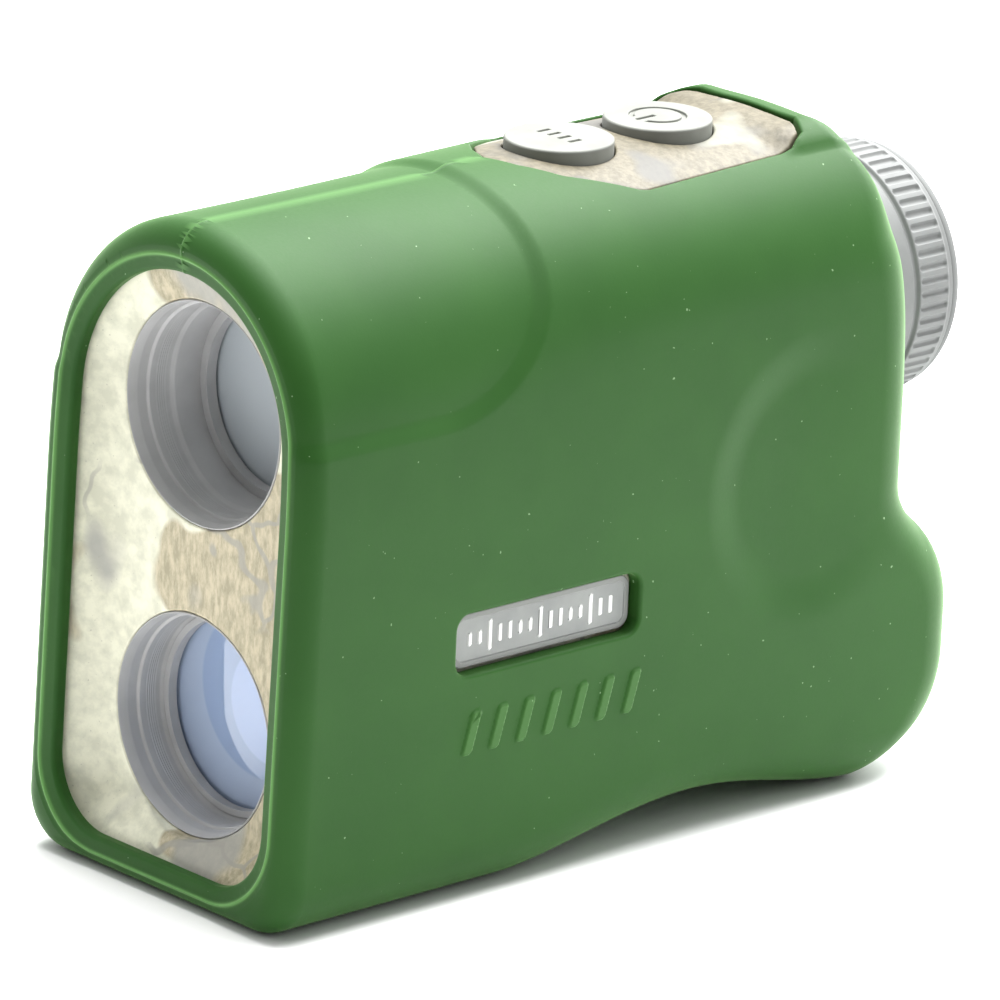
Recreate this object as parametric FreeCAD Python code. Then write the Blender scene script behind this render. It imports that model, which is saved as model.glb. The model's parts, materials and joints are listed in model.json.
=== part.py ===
"""Compact 6x21 laser rangefinder in a silicone sleeve, in millimetres.

Frame: +Z up, origin on the ground under the middle of the overall box.
The objectives face -Y, the eyepiece faces +Y, and the device is symmetric about X = 0
apart from the lanyard bar, the circuit boards and the screws.
"""
import FreeCAD, Part
import math
import os

os.makedirs("parts", exist_ok=True)
V = FreeCAD.Vector

# ---- driving dimensions of the outer form ----
HALF_WIDTH = 22.3          # sleeve, flat part of the sides
CORNER_R = 6.5             # long lower corners
SIDE_R = 177.5             # slight lean of the upper sides
SIDE_LEAN = 6.14           # degrees at the shoulder
STEP_Y = -14.0             # where the crown steps up
# top height, crown radius and half angle of the crown in degrees
FRONT_SECTION = (76.2, 21.4, 35.0)
REAR_SECTION = (76.9, 30.0, 19.5)
RIDGE_START_Y = 28.5         # flat-topped ridge behind the buttons
RIDGE_TOP_Z = 76.8
RIDGE_HALF_TOP = 9.9         # flat part of the ridge
RIDGE_HALF_WIDTH = 12.6      # foot of its slopes
RIM_MID_Y = -52.95         # front rim at half height
RIM_LEAN = 2.13 / 74.0     # forward lean of the rim, mm per mm of height
RIM_MID_Z = 37.0
REAR_Y = 42.0              # upper rear wall
BULGE_Y = 50.6             # rearmost point of the battery bulge
BULGE_TOP_Z = 32.6
REAR_CORNER_R = 7.0
ARCH_DEPTH = 3.2           # finger arch under the belly

# ---- wall thicknesses ----
SLEEVE_T = 1.8
LIP_T = 2.2                # front lip of the sleeve
DECK_SINK = 0.5            # button panel below the sleeve's outer face
SHELL_T = 2.0
SKIN = SLEEVE_T            # inset of the housing's outer face
CORE = SLEEVE_T + SHELL_T  # inset of the housing's inner face
BEZEL_BACK_Y = -46.5

# ---- optical channels ----
VIEW_Z = 54.2
RECEIVER_Z = 18.5
MOUTH_Y = -48.05           # flat of the dished front face
MOUTH_R = 12.25            # clear radius of both lens mouths
MOUTH_DEPTH = 2.6
THREAD_R = 11.9            # threaded stretch behind the mouth
THREAD_END = 5.5
BARREL_NOSE_R = 12.72
BARREL_R = 13.6

# ---- eyepiece ----
RING_R = 15.0
RING_BORE_R = 12.08
EYE_TUBE_R = 12.0
EYE_TUBE_BORE_R = 10.58
CELL_R = 10.5
CELL_BORE_R = 9.0
EYE_END_Y = 54.015
RING_END_Y = 52.4
LAND_R = 14.8              # plain land behind the ribs
LAND_Y = 51.6
RIB_COUNT = 60
RIB_GAP = 0.76             # width of the grooves between the ribs
RIB_DEPTH = 0.4
RIB_START_Y = 47.3
RIB_END_Y = 51.5

# ---- buttons ----
BUTTON_R = 6.2
BUTTON_CLEARANCE = 0.08
BUTTON_TOP_Z = 77.5
BUTTON_DOME = 0.15         # rise of the nearly flat top
MARK_DEPTH = 0.35
MARK_LINE = 0.6            # line width of the sunk marks
POWER_MARK_R = 3.0         # centre line of the open ring
MODE_BAR_PITCH = 1.7
MODE_BAR_LENGTH = 1.8
MODE_Y = 3.35
POWER_Y = 18.45

# ---- battery compartment ----
BATTERY_Z = 16.5
BATTERY_R = 7.8
BATTERY_LENGTH = 27.0
BATTERY_FRONT_Y = 17.5
TUBE_R = 9.3
TUBE_BORE_R = 8.05
CAP_R = 10.6
CAP_FACE_Y = 50.5
TAB_PIN_Z = BATTERY_Z + 4.8
TAB_PIN_Y = 49.85

# ---- trim ----
BADGE_Y = -15.9
BADGE_Z = 29.95
BADGE_LENGTH = 27.3        # window in the sleeve
BADGE_HEIGHT = 7.1
BADGE_SINK = 1.4           # plate below the flank
BADGE_GAP = 0.45           # between the plate and the window's edge
BADGE_BORDER = 0.7         # raised border of the plate
LANYARD_Y = 33.5
LANYARD_Z = 38.0

BIG = 60.0                 # reach of the trimming solids
SCREW_SPOTS = [(-38.0, 36.3), (24.0, 36.0), (30.5, 69.5), (10.5, 9.8)]
BOARD_POSTS = [(-27.0, 33.0), (9.0, 33.0), (-27.0, 17.0), (9.0, 17.0)]


# ---- basic solids ----
def box(x0, x1, y0, y1, z0, z1):
    return Part.makeBox(x1 - x0, y1 - y0, z1 - z0, V(x0, y0, z0))


def cyl_x(radius, x0, x1, y, z):
    return Part.makeCylinder(radius, x1 - x0, V(x0, y, z), V(1, 0, 0))


def cyl_y(radius, y0, y1, z, x=0.0):
    return Part.makeCylinder(radius, y1 - y0, V(x, y0, z), V(0, 1, 0))


def cyl_z(radius, z0, z1, y, x=0.0):
    return Part.makeCylinder(radius, z1 - z0, V(x, y, z0), V(0, 0, 1))


def tube_y(outer, inner, y0, y1, z):
    return cyl_y(outer, y0, y1, z).cut(cyl_y(inner, y0 - 1, y1 + 1, z))


def torus_y(major, minor, y, z):
    return Part.makeTorus(major, minor, V(0, y, z), V(0, 1, 0))


def revolve_y(profile, z):
    """Solid of revolution about the Y axis at height z, from (radius, y) corners."""
    points = [V(r, y, z) for r, y in profile]
    face = Part.Face(Part.makePolygon(points + points[:1]))
    return face.revolve(V(0, 0, z), V(0, 1, 0), 360)


def prism(wire, direction):
    return Part.Face(wire).extrude(direction)


def join(solids):
    result = solids[0].multiFuse(solids[1:]) if len(solids) > 1 else solids[0]
    return result.removeSplitter()


def lens_y(radius, y0, y1, z, front, back):
    """Round lens between two edge planes; front and back are the bulges of its faces."""
    lens = cyl_y(radius, y0 - front, y1 + back, z)
    if front:
        front_r = (radius ** 2 + front ** 2) / (2 * front)
        lens = lens.common(Part.makeSphere(front_r, V(0, y0 - front + front_r, z)))
    if back:
        back_r = (radius ** 2 + back ** 2) / (2 * back)
        lens = lens.common(Part.makeSphere(back_r, V(0, y1 + back - back_r, z)))
    return lens


# ---- outlines ----
def arch_outline(half, floor, corner, top, crown_r, crown_degrees, lean_degrees):
    """Closed X-Z outline: flat floor, round corners, leaning sides and a round crown."""
    crown_angle, lean = math.radians(crown_degrees), math.radians(lean_degrees)
    crown_x = crown_r * math.sin(crown_angle)
    crown_z = top - crown_r * (1 - math.cos(crown_angle))
    lean_x = half - SIDE_R * (1 - math.cos(lean))
    shoulder_r = (lean_x - crown_x) / (math.cos(lean) - math.sin(crown_angle))
    centre_x = lean_x - shoulder_r * math.cos(lean)
    centre_z = crown_z - shoulder_r * math.cos(crown_angle)
    lean_z = centre_z + shoulder_r * math.sin(lean)
    side_z = lean_z - SIDE_R * math.sin(lean)
    mid_side = (half - SIDE_R * (1 - math.cos(lean / 2)), side_z + SIDE_R * math.sin(lean / 2))
    turn = (lean + math.pi / 2 - crown_angle) / 2
    mid_shoulder = (centre_x + shoulder_r * math.cos(turn), centre_z + shoulder_r * math.sin(turn))
    diag = corner * (1 - math.sqrt(0.5))

    def p(x, z):
        return V(x, 0, z)

    edges = [Part.LineSegment(p(corner - half, floor), p(half - corner, floor)).toShape()]
    for side in (1, -1):
        edges.append(Part.Arc(p(side * (half - corner), floor), p(side * (half - diag), floor + diag),
                              p(side * half, floor + corner)).toShape())
        edges.append(Part.LineSegment(p(side * half, floor + corner), p(side * half, side_z)).toShape())
        edges.append(Part.Arc(p(side * half, side_z), p(side * mid_side[0], mid_side[1]),
                              p(side * lean_x, lean_z)).toShape())
        edges.append(Part.Arc(p(side * lean_x, lean_z), p(side * mid_shoulder[0], mid_shoulder[1]),
                              p(side * crown_x, crown_z)).toShape())
    edges.append(Part.Arc(p(crown_x, crown_z), p(0, top), p(-crown_x, crown_z)).toShape())
    return Part.Wire(Part.__sortEdges__(edges))


def section_prism(inset, section, start, end):
    """One stretch of the cross-section, swept along Y from start to end."""
    top, crown_r, crown_degrees = section
    wire = arch_outline(HALF_WIDTH - inset, inset, max(CORNER_R - inset, 1.5), top - inset,
                        crown_r - inset, crown_degrees, SIDE_LEAN)
    wire.translate(V(0, start, 0))
    return prism(wire, V(0, end - start, 0))


def ridge_prism(inset):
    """Flat-topped ridge with sloping ends, which raises the rear rim of the button window."""
    turn = inset * (math.sqrt(2) - 1)
    top, half_top, half = RIDGE_TOP_Z - inset, RIDGE_HALF_TOP - turn, RIDGE_HALF_WIDTH - inset
    foot = RIDGE_TOP_Z - (RIDGE_HALF_WIDTH - RIDGE_HALF_TOP) - turn
    corners = [(-half, VIEW_Z), (half, VIEW_Z), (half, foot), (half_top, top), (-half_top, top), (-half, foot)]
    points = [V(x, RIDGE_START_Y, z) for x, z in corners]
    return prism(Part.makePolygon(points + points[:1]), V(0, BIG, 0))


def rim_y(z, back=0.0):
    return RIM_MID_Y + RIM_LEAN * (z - RIM_MID_Z) + back


def side_prism(inset, front_inset):
    """Side view of the main body: leaning front, arched belly, rear wall curving in at the top."""
    def p(y, z):
        return V(-BIG, y, z)

    rear = REAR_Y - inset
    belly = Part.BSplineCurve()
    belly.interpolate([p(-20, inset), p(-8, inset + ARCH_DEPTH / 2), p(8, inset + ARCH_DEPTH),
                       p(23, inset + ARCH_DEPTH / 2), p(33, inset)],
                      InitialTangent=V(0, 1, 0), FinalTangent=V(0, 1, 0))
    edges = [Part.LineSegment(p(rim_y(0, front_inset), inset), p(-20, inset)).toShape(),
             belly.toShape(),
             Part.LineSegment(p(33, inset), p(rear, inset)).toShape(),
             Part.LineSegment(p(rear, inset), p(rear, 54)).toShape(),
             Part.Arc(p(rear, 54), p(rear - 1.55, 66), p(rear - 6.2, 77.5)).toShape(),
             Part.LineSegment(p(rear - 6.2, 77.5), p(rim_y(77.5, front_inset), 77.5)).toShape(),
             Part.LineSegment(p(rim_y(77.5, front_inset), 77.5), p(rim_y(0, front_inset), inset)).toShape()]
    return prism(Part.Wire(edges), V(2 * BIG, 0, 0))


def bulge_prism(inset):
    """Side view of the battery bulge below the eyepiece."""
    centre = V(-BIG, 36, BULGE_TOP_Z / 2)

    def p(y, z):
        point = V(-BIG, y, z)
        away = point - centre
        return centre + away * ((away.Length - inset) / away.Length)

    foot, low, back = p(36, 0), p(46.9, 5.2), p(BULGE_Y, BULGE_TOP_Z / 2)
    high, crest = p(48.4, 26.2), p(42, BULGE_TOP_Z)
    inner_low, inner_high = V(-BIG, 34, foot.z), V(-BIG, 34, crest.z)
    edges = [Part.LineSegment(inner_low, foot).toShape(),
             Part.Arc(foot, low, back).toShape(),
             Part.Arc(back, high, crest).toShape(),
             Part.LineSegment(crest, inner_high).toShape(),
             Part.LineSegment(inner_high, inner_low).toShape()]
    return prism(Part.Wire(edges), V(2 * BIG, 0, 0))


def plan_prism(inset, rear):
    """Top view with rounded rear corners."""
    half, radius = HALF_WIDTH - inset + 0.01, REAR_CORNER_R - inset / 2
    end, diag = rear - inset, radius * (1 - math.sqrt(0.5))

    def p(x, y):
        return V(x, y, -BIG)

    edges = [Part.LineSegment(p(-half, -BIG), p(half, -BIG)).toShape(),
             Part.LineSegment(p(half, -BIG), p(half, end - radius)).toShape(),
             Part.Arc(p(half, end - radius), p(half - diag, end - diag), p(half - radius, end)).toShape(),
             Part.LineSegment(p(half - radius, end), p(radius - half, end)).toShape(),
             Part.Arc(p(radius - half, end), p(diag - half, end - diag), p(-half, end - radius)).toShape(),
             Part.LineSegment(p(-half, end - radius), p(-half, -BIG)).toShape()]
    return prism(Part.Wire(edges), V(0, 0, 3 * BIG))


def envelope(inset, front_inset=0.0):
    """The body's outer form, moved inwards by inset and at the front by front_inset."""
    front = section_prism(inset, FRONT_SECTION, -BIG, STEP_Y)
    rear = section_prism(inset, REAR_SECTION, STEP_Y, BIG)
    whole = front.multiFuse([rear, ridge_prism(inset)])
    main = whole.common(side_prism(inset, front_inset)).common(plan_prism(inset, REAR_Y))
    bulge = rear.common(bulge_prism(inset)).common(plan_prism(inset, BULGE_Y))
    return main.fuse(bulge).removeSplitter()


def window_prism(inset, z0, z1):
    """Button window in plan: pointed towards the front, widest past the first button."""
    front, waist, tail, back = -7.9 + inset, 12.3 - inset, 11.4 - inset, 32.4 - inset

    def p(x, y):
        return V(x, y, z0)

    half = [(0, front), (3.6, front + 1.6), (7.6, -3.0 + inset), (waist, 5.0), (waist, 8.0), (tail, 27.5)]
    right = Part.BSplineCurve()
    right.interpolate([p(x, y) for x, y in half[:3]], InitialTangent=V(1, 0, 0))
    left = Part.BSplineCurve()
    left.interpolate([p(-x, y) for x, y in half[:3]], InitialTangent=V(-1, 0, 0))
    edges = [right.toShape(), left.toShape()]
    for side in (1, -1):
        for (xa, ya), (xb, yb) in zip(half[2:], half[3:]):
            edges.append(Part.LineSegment(p(side * xa, ya), p(side * xb, yb)).toShape())
        edges.append(Part.Arc(p(side * tail, 27.5), p(side * (tail - 1.3), back - 1.3),
                              p(side * (tail - 4.6), back)).toShape())
    edges.append(Part.LineSegment(p(tail - 4.6, back), p(4.6 - tail, back)).toShape())
    return prism(Part.Wire(Part.__sortEdges__(edges)), V(0, 0, z1 - z0))


def round_plate(length, height, radius, x0, x1, y, z):
    """Rounded rectangle in the Y-Z plane, from x0 to x1."""
    plate = box(x0, x1, y - length / 2, y + length / 2, z - height / 2, z + height / 2)
    corners = [e for e in plate.Edges if abs(e.Vertexes[0].X - e.Vertexes[-1].X) > 1e-6]
    return plate.makeFillet(radius, corners)


# ---- sleeve ----
def motif_bars():
    """Raised slanted bars on both flanks, below the badges."""
    bars = []
    for side in (1, -1):
        x = side * (HALF_WIDTH - 0.1)
        for index in range(7):
            y = BADGE_Y - 12.6 + index * 4.0
            corners = [V(x, y, 17.3), V(x, y + 1.5, 17.3), V(x, y + 2.9, 22.1), V(x, y + 1.4, 22.1)]
            bars.append(prism(Part.makePolygon(corners + corners[:1]), V(side * 0.4, 0, 0)))
    return bars


def make_sleeve(outer, device):
    sleeve = join([outer.cut(device)] + motif_bars())
    opening = arch_outline(17.4, 3.9, 8.0, 70.7, 17.0, 30.0, 3.0)
    opening.translate(V(0, -BIG, 0))
    cuts = [prism(opening, V(0, 20, 0)),
            window_prism(0, 60, 80),
            cyl_y(RING_R + 0.6, 30, BIG, VIEW_Z),
            cyl_y(CAP_R + 0.6, 44, BIG, BATTERY_Z),
            round_plate(9.0, 9.0, 2.0, -HALF_WIDTH - 1, -HALF_WIDTH + 3, LANYARD_Y, LANYARD_Z)]
    for side in (1, -1):
        x0, x1 = sorted((side * (HALF_WIDTH - 3), side * (HALF_WIDTH + 1)))
        cuts.append(round_plate(BADGE_LENGTH, BADGE_HEIGHT, 1.8, x0, x1, BADGE_Y, BADGE_Z))
    return sleeve.cut(Part.makeCompound(cuts))


# ---- housing ----
def make_shell(side, skin, core):
    """Half of the clamshell housing; side is +1 for the left half, -1 for the right."""
    half_space = box(0, BIG, BEZEL_BACK_Y, BIG, -BIG, 2 * BIG) if side > 0 \
        else box(-BIG, 0, BEZEL_BACK_Y, BIG, -BIG, 2 * BIG)
    wall = skin.cut(core)
    inner = HALF_WIDTH - CORE
    board_x = 16.0

    def along_x(radius, near, far, y, z):
        x0, x1 = sorted((side * near, side * far))
        return cyl_x(radius, x0, x1, y, z)

    bosses = [along_x(2.4, 0, inner + 1, y, z) for y, z in SCREW_SPOTS]
    bosses += [along_x(1.8, board_x, inner + 1, y, z) for y, z in BOARD_POSTS]
    for dz in (1, -1):
        bosses.append(cyl_y(2.2, 35.4, 39.5, VIEW_Z + dz * 9.3, side * 9.3))
    if side < 0:
        bosses.append(box(-inner - 0.8, -15.5, 28.6, 38.6, 33.0, 43.0))
    shell = join([wall] + [b.common(skin) for b in bosses]).common(half_space)

    cuts = [cyl_y(EYE_TUBE_R + 0.1, 30, BIG, VIEW_Z),
            cyl_y(TUBE_R + 0.05, 30, BIG, BATTERY_Z),
            box(-9.0, 9.0, -4.2, 26.0, 70.0, 80.0)]
    for y, z in SCREW_SPOTS:
        cuts.append(cyl_x(1.05, -BIG, 9.0, y, z))
        cuts.append(cyl_x(2.0, -BIG, -8.0, y, z))
    for y, z in BOARD_POSTS:
        cuts.append(along_x(0.85, board_x - 1, board_x + 2.2, y, z))
    for dz in (1, -1):
        cuts.append(cyl_y(0.85, 34, 38.4, VIEW_Z + dz * 9.3, side * 9.3))
    if side < 0:
        cuts.append(box(-BIG, -17.0, LANYARD_Y - 3.5, LANYARD_Y + 3.5, LANYARD_Z - 3.5, LANYARD_Z + 3.5))
        cuts.append(cyl_z(0.8, LANYARD_Z - 4.2, LANYARD_Z + 4.2, LANYARD_Y, -19.6))
    return shell.cut(Part.makeCompound(cuts))


def make_bezel(device):
    """Dished front face of the housing, with the two lens holes."""
    slab = device.common(box(-BIG, BIG, -BIG, BEZEL_BACK_Y, -1, 2 * BIG))
    deep = arch_outline(13.4, 4.9, 4.0, 67.6, 13.6, 30.0, 3.0)
    deep.translate(V(0, MOUTH_Y, 0))
    wide = arch_outline(19.4, 2.4, 5.5, 72.4, 18.2, 30.0, 3.0)
    wide.translate(V(0, -51.7, 0))
    wide.rotate(V(0, -51.7, RIM_MID_Z), V(1, 0, 0), -math.degrees(math.atan(RIM_LEAN)))
    dish = Part.makeLoft([deep, wide], True)
    holes = [cyl_y(BARREL_NOSE_R + 0.03, -BIG, -40, z) for z in (VIEW_Z, RECEIVER_Z)]
    return slab.cut(dish).cut(Part.makeCompound(holes))


def make_button_panel(deck, skin):
    """Cover plate in the sleeve's window, with a plug that fills the housing's opening."""
    plate = window_prism(0.3, 60, 80).common(deck.cut(skin))
    plug = box(-8.95, 8.95, -4.15, 25.95, 73.2, 80).common(skin)
    panel = join([plate, plug])
    bores = []
    for y in (MODE_Y, POWER_Y):
        bores.append(cyl_z(BUTTON_R + BUTTON_CLEARANCE, 60, 80, y))
        bores.append(cyl_z(6.95, 73.9, 74.6, y))
    return panel.cut(Part.makeCompound(bores))


def make_button(y):
    """Round key with a slightly domed top, a retaining flange and a stem over its switch."""
    edge_z = BUTTON_TOP_Z - BUTTON_DOME
    sphere_r = (BUTTON_R ** 2 + BUTTON_DOME ** 2) / (2 * BUTTON_DOME)
    key = cyl_z(BUTTON_R, 73.0, BUTTON_TOP_Z, y)
    key = key.common(Part.makeSphere(sphere_r, V(0, y, BUTTON_TOP_Z - sphere_r)))
    rim = [edge for edge in key.Edges if abs(edge.CenterOfMass.z - edge_z) < 0.01]
    key = key.makeFillet(0.2, rim)
    return join([key, cyl_z(7.4, 72.2, 73.0, y), cyl_z(1.6, 71.6, 72.2, y)])


def cut_mode_mark(button, y):
    """Sinks four short bars in a row, a generic mark for the mode key."""
    floor = BUTTON_TOP_Z - MARK_DEPTH
    bars = []
    for index in range(4):
        x = (index - 1.5) * MODE_BAR_PITCH
        bars.append(box(x - MARK_LINE / 2, x + MARK_LINE / 2, y - MODE_BAR_LENGTH / 2,
                        y + MODE_BAR_LENGTH / 2, floor, 80))
    return button.cut(Part.makeCompound(bars))


def cut_power_mark(button, y):
    """Sinks an open ring with a stroke through its gap, pointing to the front."""
    floor = BUTTON_TOP_Z - MARK_DEPTH
    outer, inner = POWER_MARK_R + MARK_LINE / 2, POWER_MARK_R - MARK_LINE / 2
    ring = cyl_z(outer, floor, 80, y).cut(cyl_z(inner, floor - 1, 81, y))
    ring = ring.cut(box(-1.1, 1.1, y - outer - 1, y, floor - 1, 81))
    stroke = box(-MARK_LINE / 2, MARK_LINE / 2, y - outer, y - 0.5, floor, 80)
    return button.cut(Part.makeCompound([ring, stroke]))


# ---- optics ----
def make_barrel(z, seat_y, end_y):
    """Lens barrel: stepped mouth, thread relief and a shoulder behind the lens."""
    profile = [(MOUTH_R, MOUTH_Y), (BARREL_NOSE_R, MOUTH_Y), (BARREL_NOSE_R, BEZEL_BACK_Y),
               (BARREL_R, BEZEL_BACK_Y), (BARREL_R, end_y), (10.4, end_y), (10.4, seat_y),
               (11.6, seat_y), (11.6, MOUTH_Y + THREAD_END), (THREAD_R, MOUTH_Y + THREAD_END),
               (THREAD_R, MOUTH_Y + MOUTH_DEPTH), (MOUTH_R, MOUTH_Y + MOUTH_DEPTH)]
    return revolve_y(profile, z)


def make_prism_holder():
    frame = box(-11, 11, -28, 11, 38.5, 68.4).cut(box(-9.1, 9.1, -26.6, 9.6, 40.4, 70))
    cuts = [cyl_y(8.5, -30, 12, VIEW_Z), cyl_z(3.6, 30, 42, 0)]
    return frame.cut(Part.makeCompound(cuts))


def make_half_prism():
    corners = [V(-8.5, y, z) for y, z in ((-25.5, 46), (-25.5, 63), (-8.5, 63), (-15.5, 46))]
    return prism(Part.makePolygon(corners + corners[:1]), V(17, 0, 0))


def make_roof_prism():
    side = ((-8.0, 63.2), (-15.2, 45.7), (-3.0, 40.9), (8.8, 45.7), (8.8, 63.2))
    corners = [V(-8.5, y, z) for y, z in side]
    body = prism(Part.makePolygon(corners + corners[:1]), V(17, 0, 0))
    roof = [V(x, -20, z) for x, z in ((-8.5, 70), (8.5, 70), (8.5, 49.4), (0, 40.9), (-8.5, 49.4))]
    return body.common(prism(Part.makePolygon(roof + roof[:1]), V(0, 40, 0)))


def make_eyepiece_tube():
    flange = [(EYE_TUBE_BORE_R, 33.6), (14.5, 33.6), (14.5, 35.3), (EYE_TUBE_R, 35.3),
              (EYE_TUBE_R, 50.0), (EYE_TUBE_BORE_R, 50.0)]
    holes = [cyl_y(0.95, 30, 40, VIEW_Z + dz * 9.3, dx * 9.3) for dz in (1, -1) for dx in (1, -1)]
    return revolve_y(flange, VIEW_Z).cut(Part.makeCompound(holes))


def make_ocular_cell():
    profile = [(CELL_BORE_R, 36.4), (CELL_BORE_R, 32.0), (CELL_R, 32.0), (CELL_R, 47.0), (9.9, 47.0),
               (9.9, 47.9), (CELL_R, 47.9), (CELL_R, 49.4), (CELL_BORE_R, 49.4), (CELL_BORE_R, 43.5),
               (8.2, 43.5), (8.2, 36.4)]
    return revolve_y(profile, VIEW_Z)


def make_diopter_ring():
    """Focus ring: neck, plain band, ribbed grip and an inner flange over the tube's end."""
    profile = [(RING_BORE_R, 40.9), (14.4, 40.9), (14.4, 43.8), (14.8, 44.2), (14.8, 46.2), (14.55, 46.4),
               (14.55, 46.8), (RING_R, 47.0), (RING_R, LAND_Y - 0.1), (LAND_R, LAND_Y),
               (LAND_R, RING_END_Y), (10.2, RING_END_Y), (10.2, 50.7), (RING_BORE_R, 50.7)]
    ring = revolve_y(profile, VIEW_Z)
    groove = box(RING_R - RIB_DEPTH, RING_R + 1, RIB_START_Y, RIB_END_Y,
                 VIEW_Z - RIB_GAP / 2, VIEW_Z + RIB_GAP / 2)
    grooves = []
    for index in range(RIB_COUNT):
        cut = groove.copy()
        cut.rotate(V(0, 0, VIEW_Z), V(0, 1, 0), index * 360.0 / RIB_COUNT)
        grooves.append(cut)
    return ring.cut(Part.makeCompound(grooves))


def make_eyecup():
    profile = [(10.2, RING_END_Y), (14.7, RING_END_Y), (14.7, 53.2), (14.3, 53.8), (13.6, EYE_END_Y),
               (12.4, EYE_END_Y), (11.0, 53.5)]
    return revolve_y(profile, VIEW_Z)


# ---- receiver and laser ----
def make_receiver_cone():
    profile = [(11.6, -35.9), (12.6, -35.9), (5.4, -6.0), (4.4, -6.0)]
    return revolve_y(profile, RECEIVER_Z)


def make_apd():
    legs = [cyl_y(0.25, -1.2, 1.6, RECEIVER_Z + dz, dx) for dx, dz in ((1.8, 0), (-1.8, 0), (0, 1.8))]
    return join([cyl_y(3.6, -5.6, -1.8, RECEIVER_Z), cyl_y(4.1, -1.8, -1.0, RECEIVER_Z)] + legs)


def make_receiver_board():
    board = box(-8.5, 8.5, -0.9, 0.5, 10.5, 26.5)
    holes = [cyl_y(0.3, -2, 2, RECEIVER_Z + dz, dx) for dx, dz in ((1.8, 0), (-1.8, 0), (0, 1.8))]
    return board.cut(Part.makeCompound(holes))


def make_apd_shield():
    return box(-9.0, 9.0, 0.6, 6.6, 10.0, 27.0).cut(box(-8.6, 8.6, 0, 6.2, 10.4, 26.6))


def make_laser_module():
    sleeve = cyl_z(4.5, 28.0, 38.4, 0).cut(cyl_z(3.5, 31.5, 40, 0))
    return sleeve.cut(cyl_z(2.85, 27, 32, 0))


def make_laser_diode():
    legs = [cyl_z(0.2, 27.2, 28.0, dy, dx) for dx, dy in ((1.2, 0), (-1.2, 0), (0, 1.2))]
    return join([cyl_z(2.8, 28.0, 31.4, 0)] + legs)


def make_collimator():
    lens = lens_y(3.45, 33.6, 35.6, 0, 0.0, 0.9)
    lens.rotate(V(0, 0, 0), V(1, 0, 0), 90)
    return lens


# ---- electronics ----
def make_side_board(side):
    x0, x1 = sorted((side * 14.8, side * 16.0))
    board = box(x0, x1, -30, 12, 14, 36)
    return board.cut(Part.makeCompound([cyl_x(0.95, x0 - 1, x1 + 1, y, z) for y, z in BOARD_POSTS]))


def make_main_chips():
    # middle y and z, half length, half height and thickness
    spots = [(-16, 27, 4, 4, 1.4), (-4, 29, 3, 2.5, 1.1), (-5, 20, 2.5, 2, 1.1), (-21.5, 17.6, 1.5, 1.2, 0.9)]
    chips = []
    for y, z, long, high, thick in spots:
        chips.append(box(-14.8, -14.8 + thick, y - long, y + long, z - high, z + high))
    return Part.makeCompound(chips)


def make_driver_parts():
    cans = [cyl_x(2.4, 10.4, 14.8, y, 32.0) for y in (-20.0, -14.0)]
    coil = cyl_x(3.0, 11.6, 14.8, -3.0, 30.5)
    return Part.makeCompound(cans + [coil, box(13.9, 14.8, -6.0, 0.0, 17.0, 22.0)])


def make_lcd_frame():
    return box(-9.0, 9.0, 11.1, 14.2, 45.2, 63.2).cut(Part.makeCompound([
        box(-7.6, 7.6, 12.0, 13.4, 46.6, 61.8), box(-6.4, 6.4, 10, 15, 47.8, 60.6)]))


def make_lcd_flex():
    return join([box(-10.0, -4.0, 14.3, 14.6, 31.0, 47.0), box(-14.7, -4.0, 14.3, 14.6, 31.0, 34.0),
                 box(-14.7, -14.4, 10.5, 14.6, 31.0, 34.0)])


def make_button_board():
    return box(-8.0, 8.0, -2.0, 26.0, 69.0, 70.0)


def make_switches():
    switches = []
    for y in (MODE_Y, POWER_Y):
        switches.append(join([box(-2.4, 2.4, y - 2.4, y + 2.4, 70.0, 70.6), cyl_z(1.1, 70.6, 70.9, y)]))
    return Part.makeCompound(switches)


# ---- battery ----
def make_battery_tube():
    tube = [(0, 14.5), (TUBE_R, 14.5), (TUBE_R, 48.8), (TUBE_BORE_R, 48.8), (TUBE_BORE_R, 47.6), (8.9, 47.6),
            (8.9, 46.2), (TUBE_BORE_R, 46.2), (TUBE_BORE_R, 15.7), (0, 15.7)]
    return revolve_y(tube, BATTERY_Z)


def make_battery():
    end = BATTERY_FRONT_Y + BATTERY_LENGTH - 0.6
    return join([cyl_y(BATTERY_R, BATTERY_FRONT_Y, end, BATTERY_Z), cyl_y(3.0, end, end + 0.6, BATTERY_Z)])


def make_battery_spring():
    helix = Part.makeHelix(0.62, 1.3, 4.2, 12)
    start = helix.Edges[0].valueAt(helix.Edges[0].FirstParameter)
    section = Part.Wire(Part.makeCircle(0.22, start, V(0, 1, 0)))
    spring = Part.Wire(helix).makePipeShell([section], True, True)
    spring.rotate(V(0, 0, 0), V(1, 0, 0), -90)
    spring.translate(V(0, 15.98, BATTERY_Z))
    return spring


def make_battery_cap():
    profile = [(0, 45.6), (7.95, 45.6), (7.95, 48.1), (7.4, 48.1), (7.4, 48.8), (7.95, 48.8), (7.95, 48.9),
               (CAP_R, 48.9), (CAP_R, CAP_FACE_Y - 0.4), (CAP_R - 0.4, CAP_FACE_Y), (0, CAP_FACE_Y)]
    cap = revolve_y(profile, BATTERY_Z)
    lugs = cyl_y(8.75, 46.4, 47.4, BATTERY_Z).common(box(-10, 10, 46, 48, BATTERY_Z - 1.6, BATTERY_Z + 1.6))
    cap = join([cap, lugs])
    cuts = [box(-7.0, 7.0, 49.3, 52, BATTERY_Z - 2.8, TAB_PIN_Z),
            box(-7.0, 7.0, 49.0, 52, TAB_PIN_Z - 1.1, TAB_PIN_Z + 1.1),
            cyl_x(0.45, -7.8, 7.8, TAB_PIN_Y, TAB_PIN_Z)]
    return cap.cut(Part.makeCompound(cuts))


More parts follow.
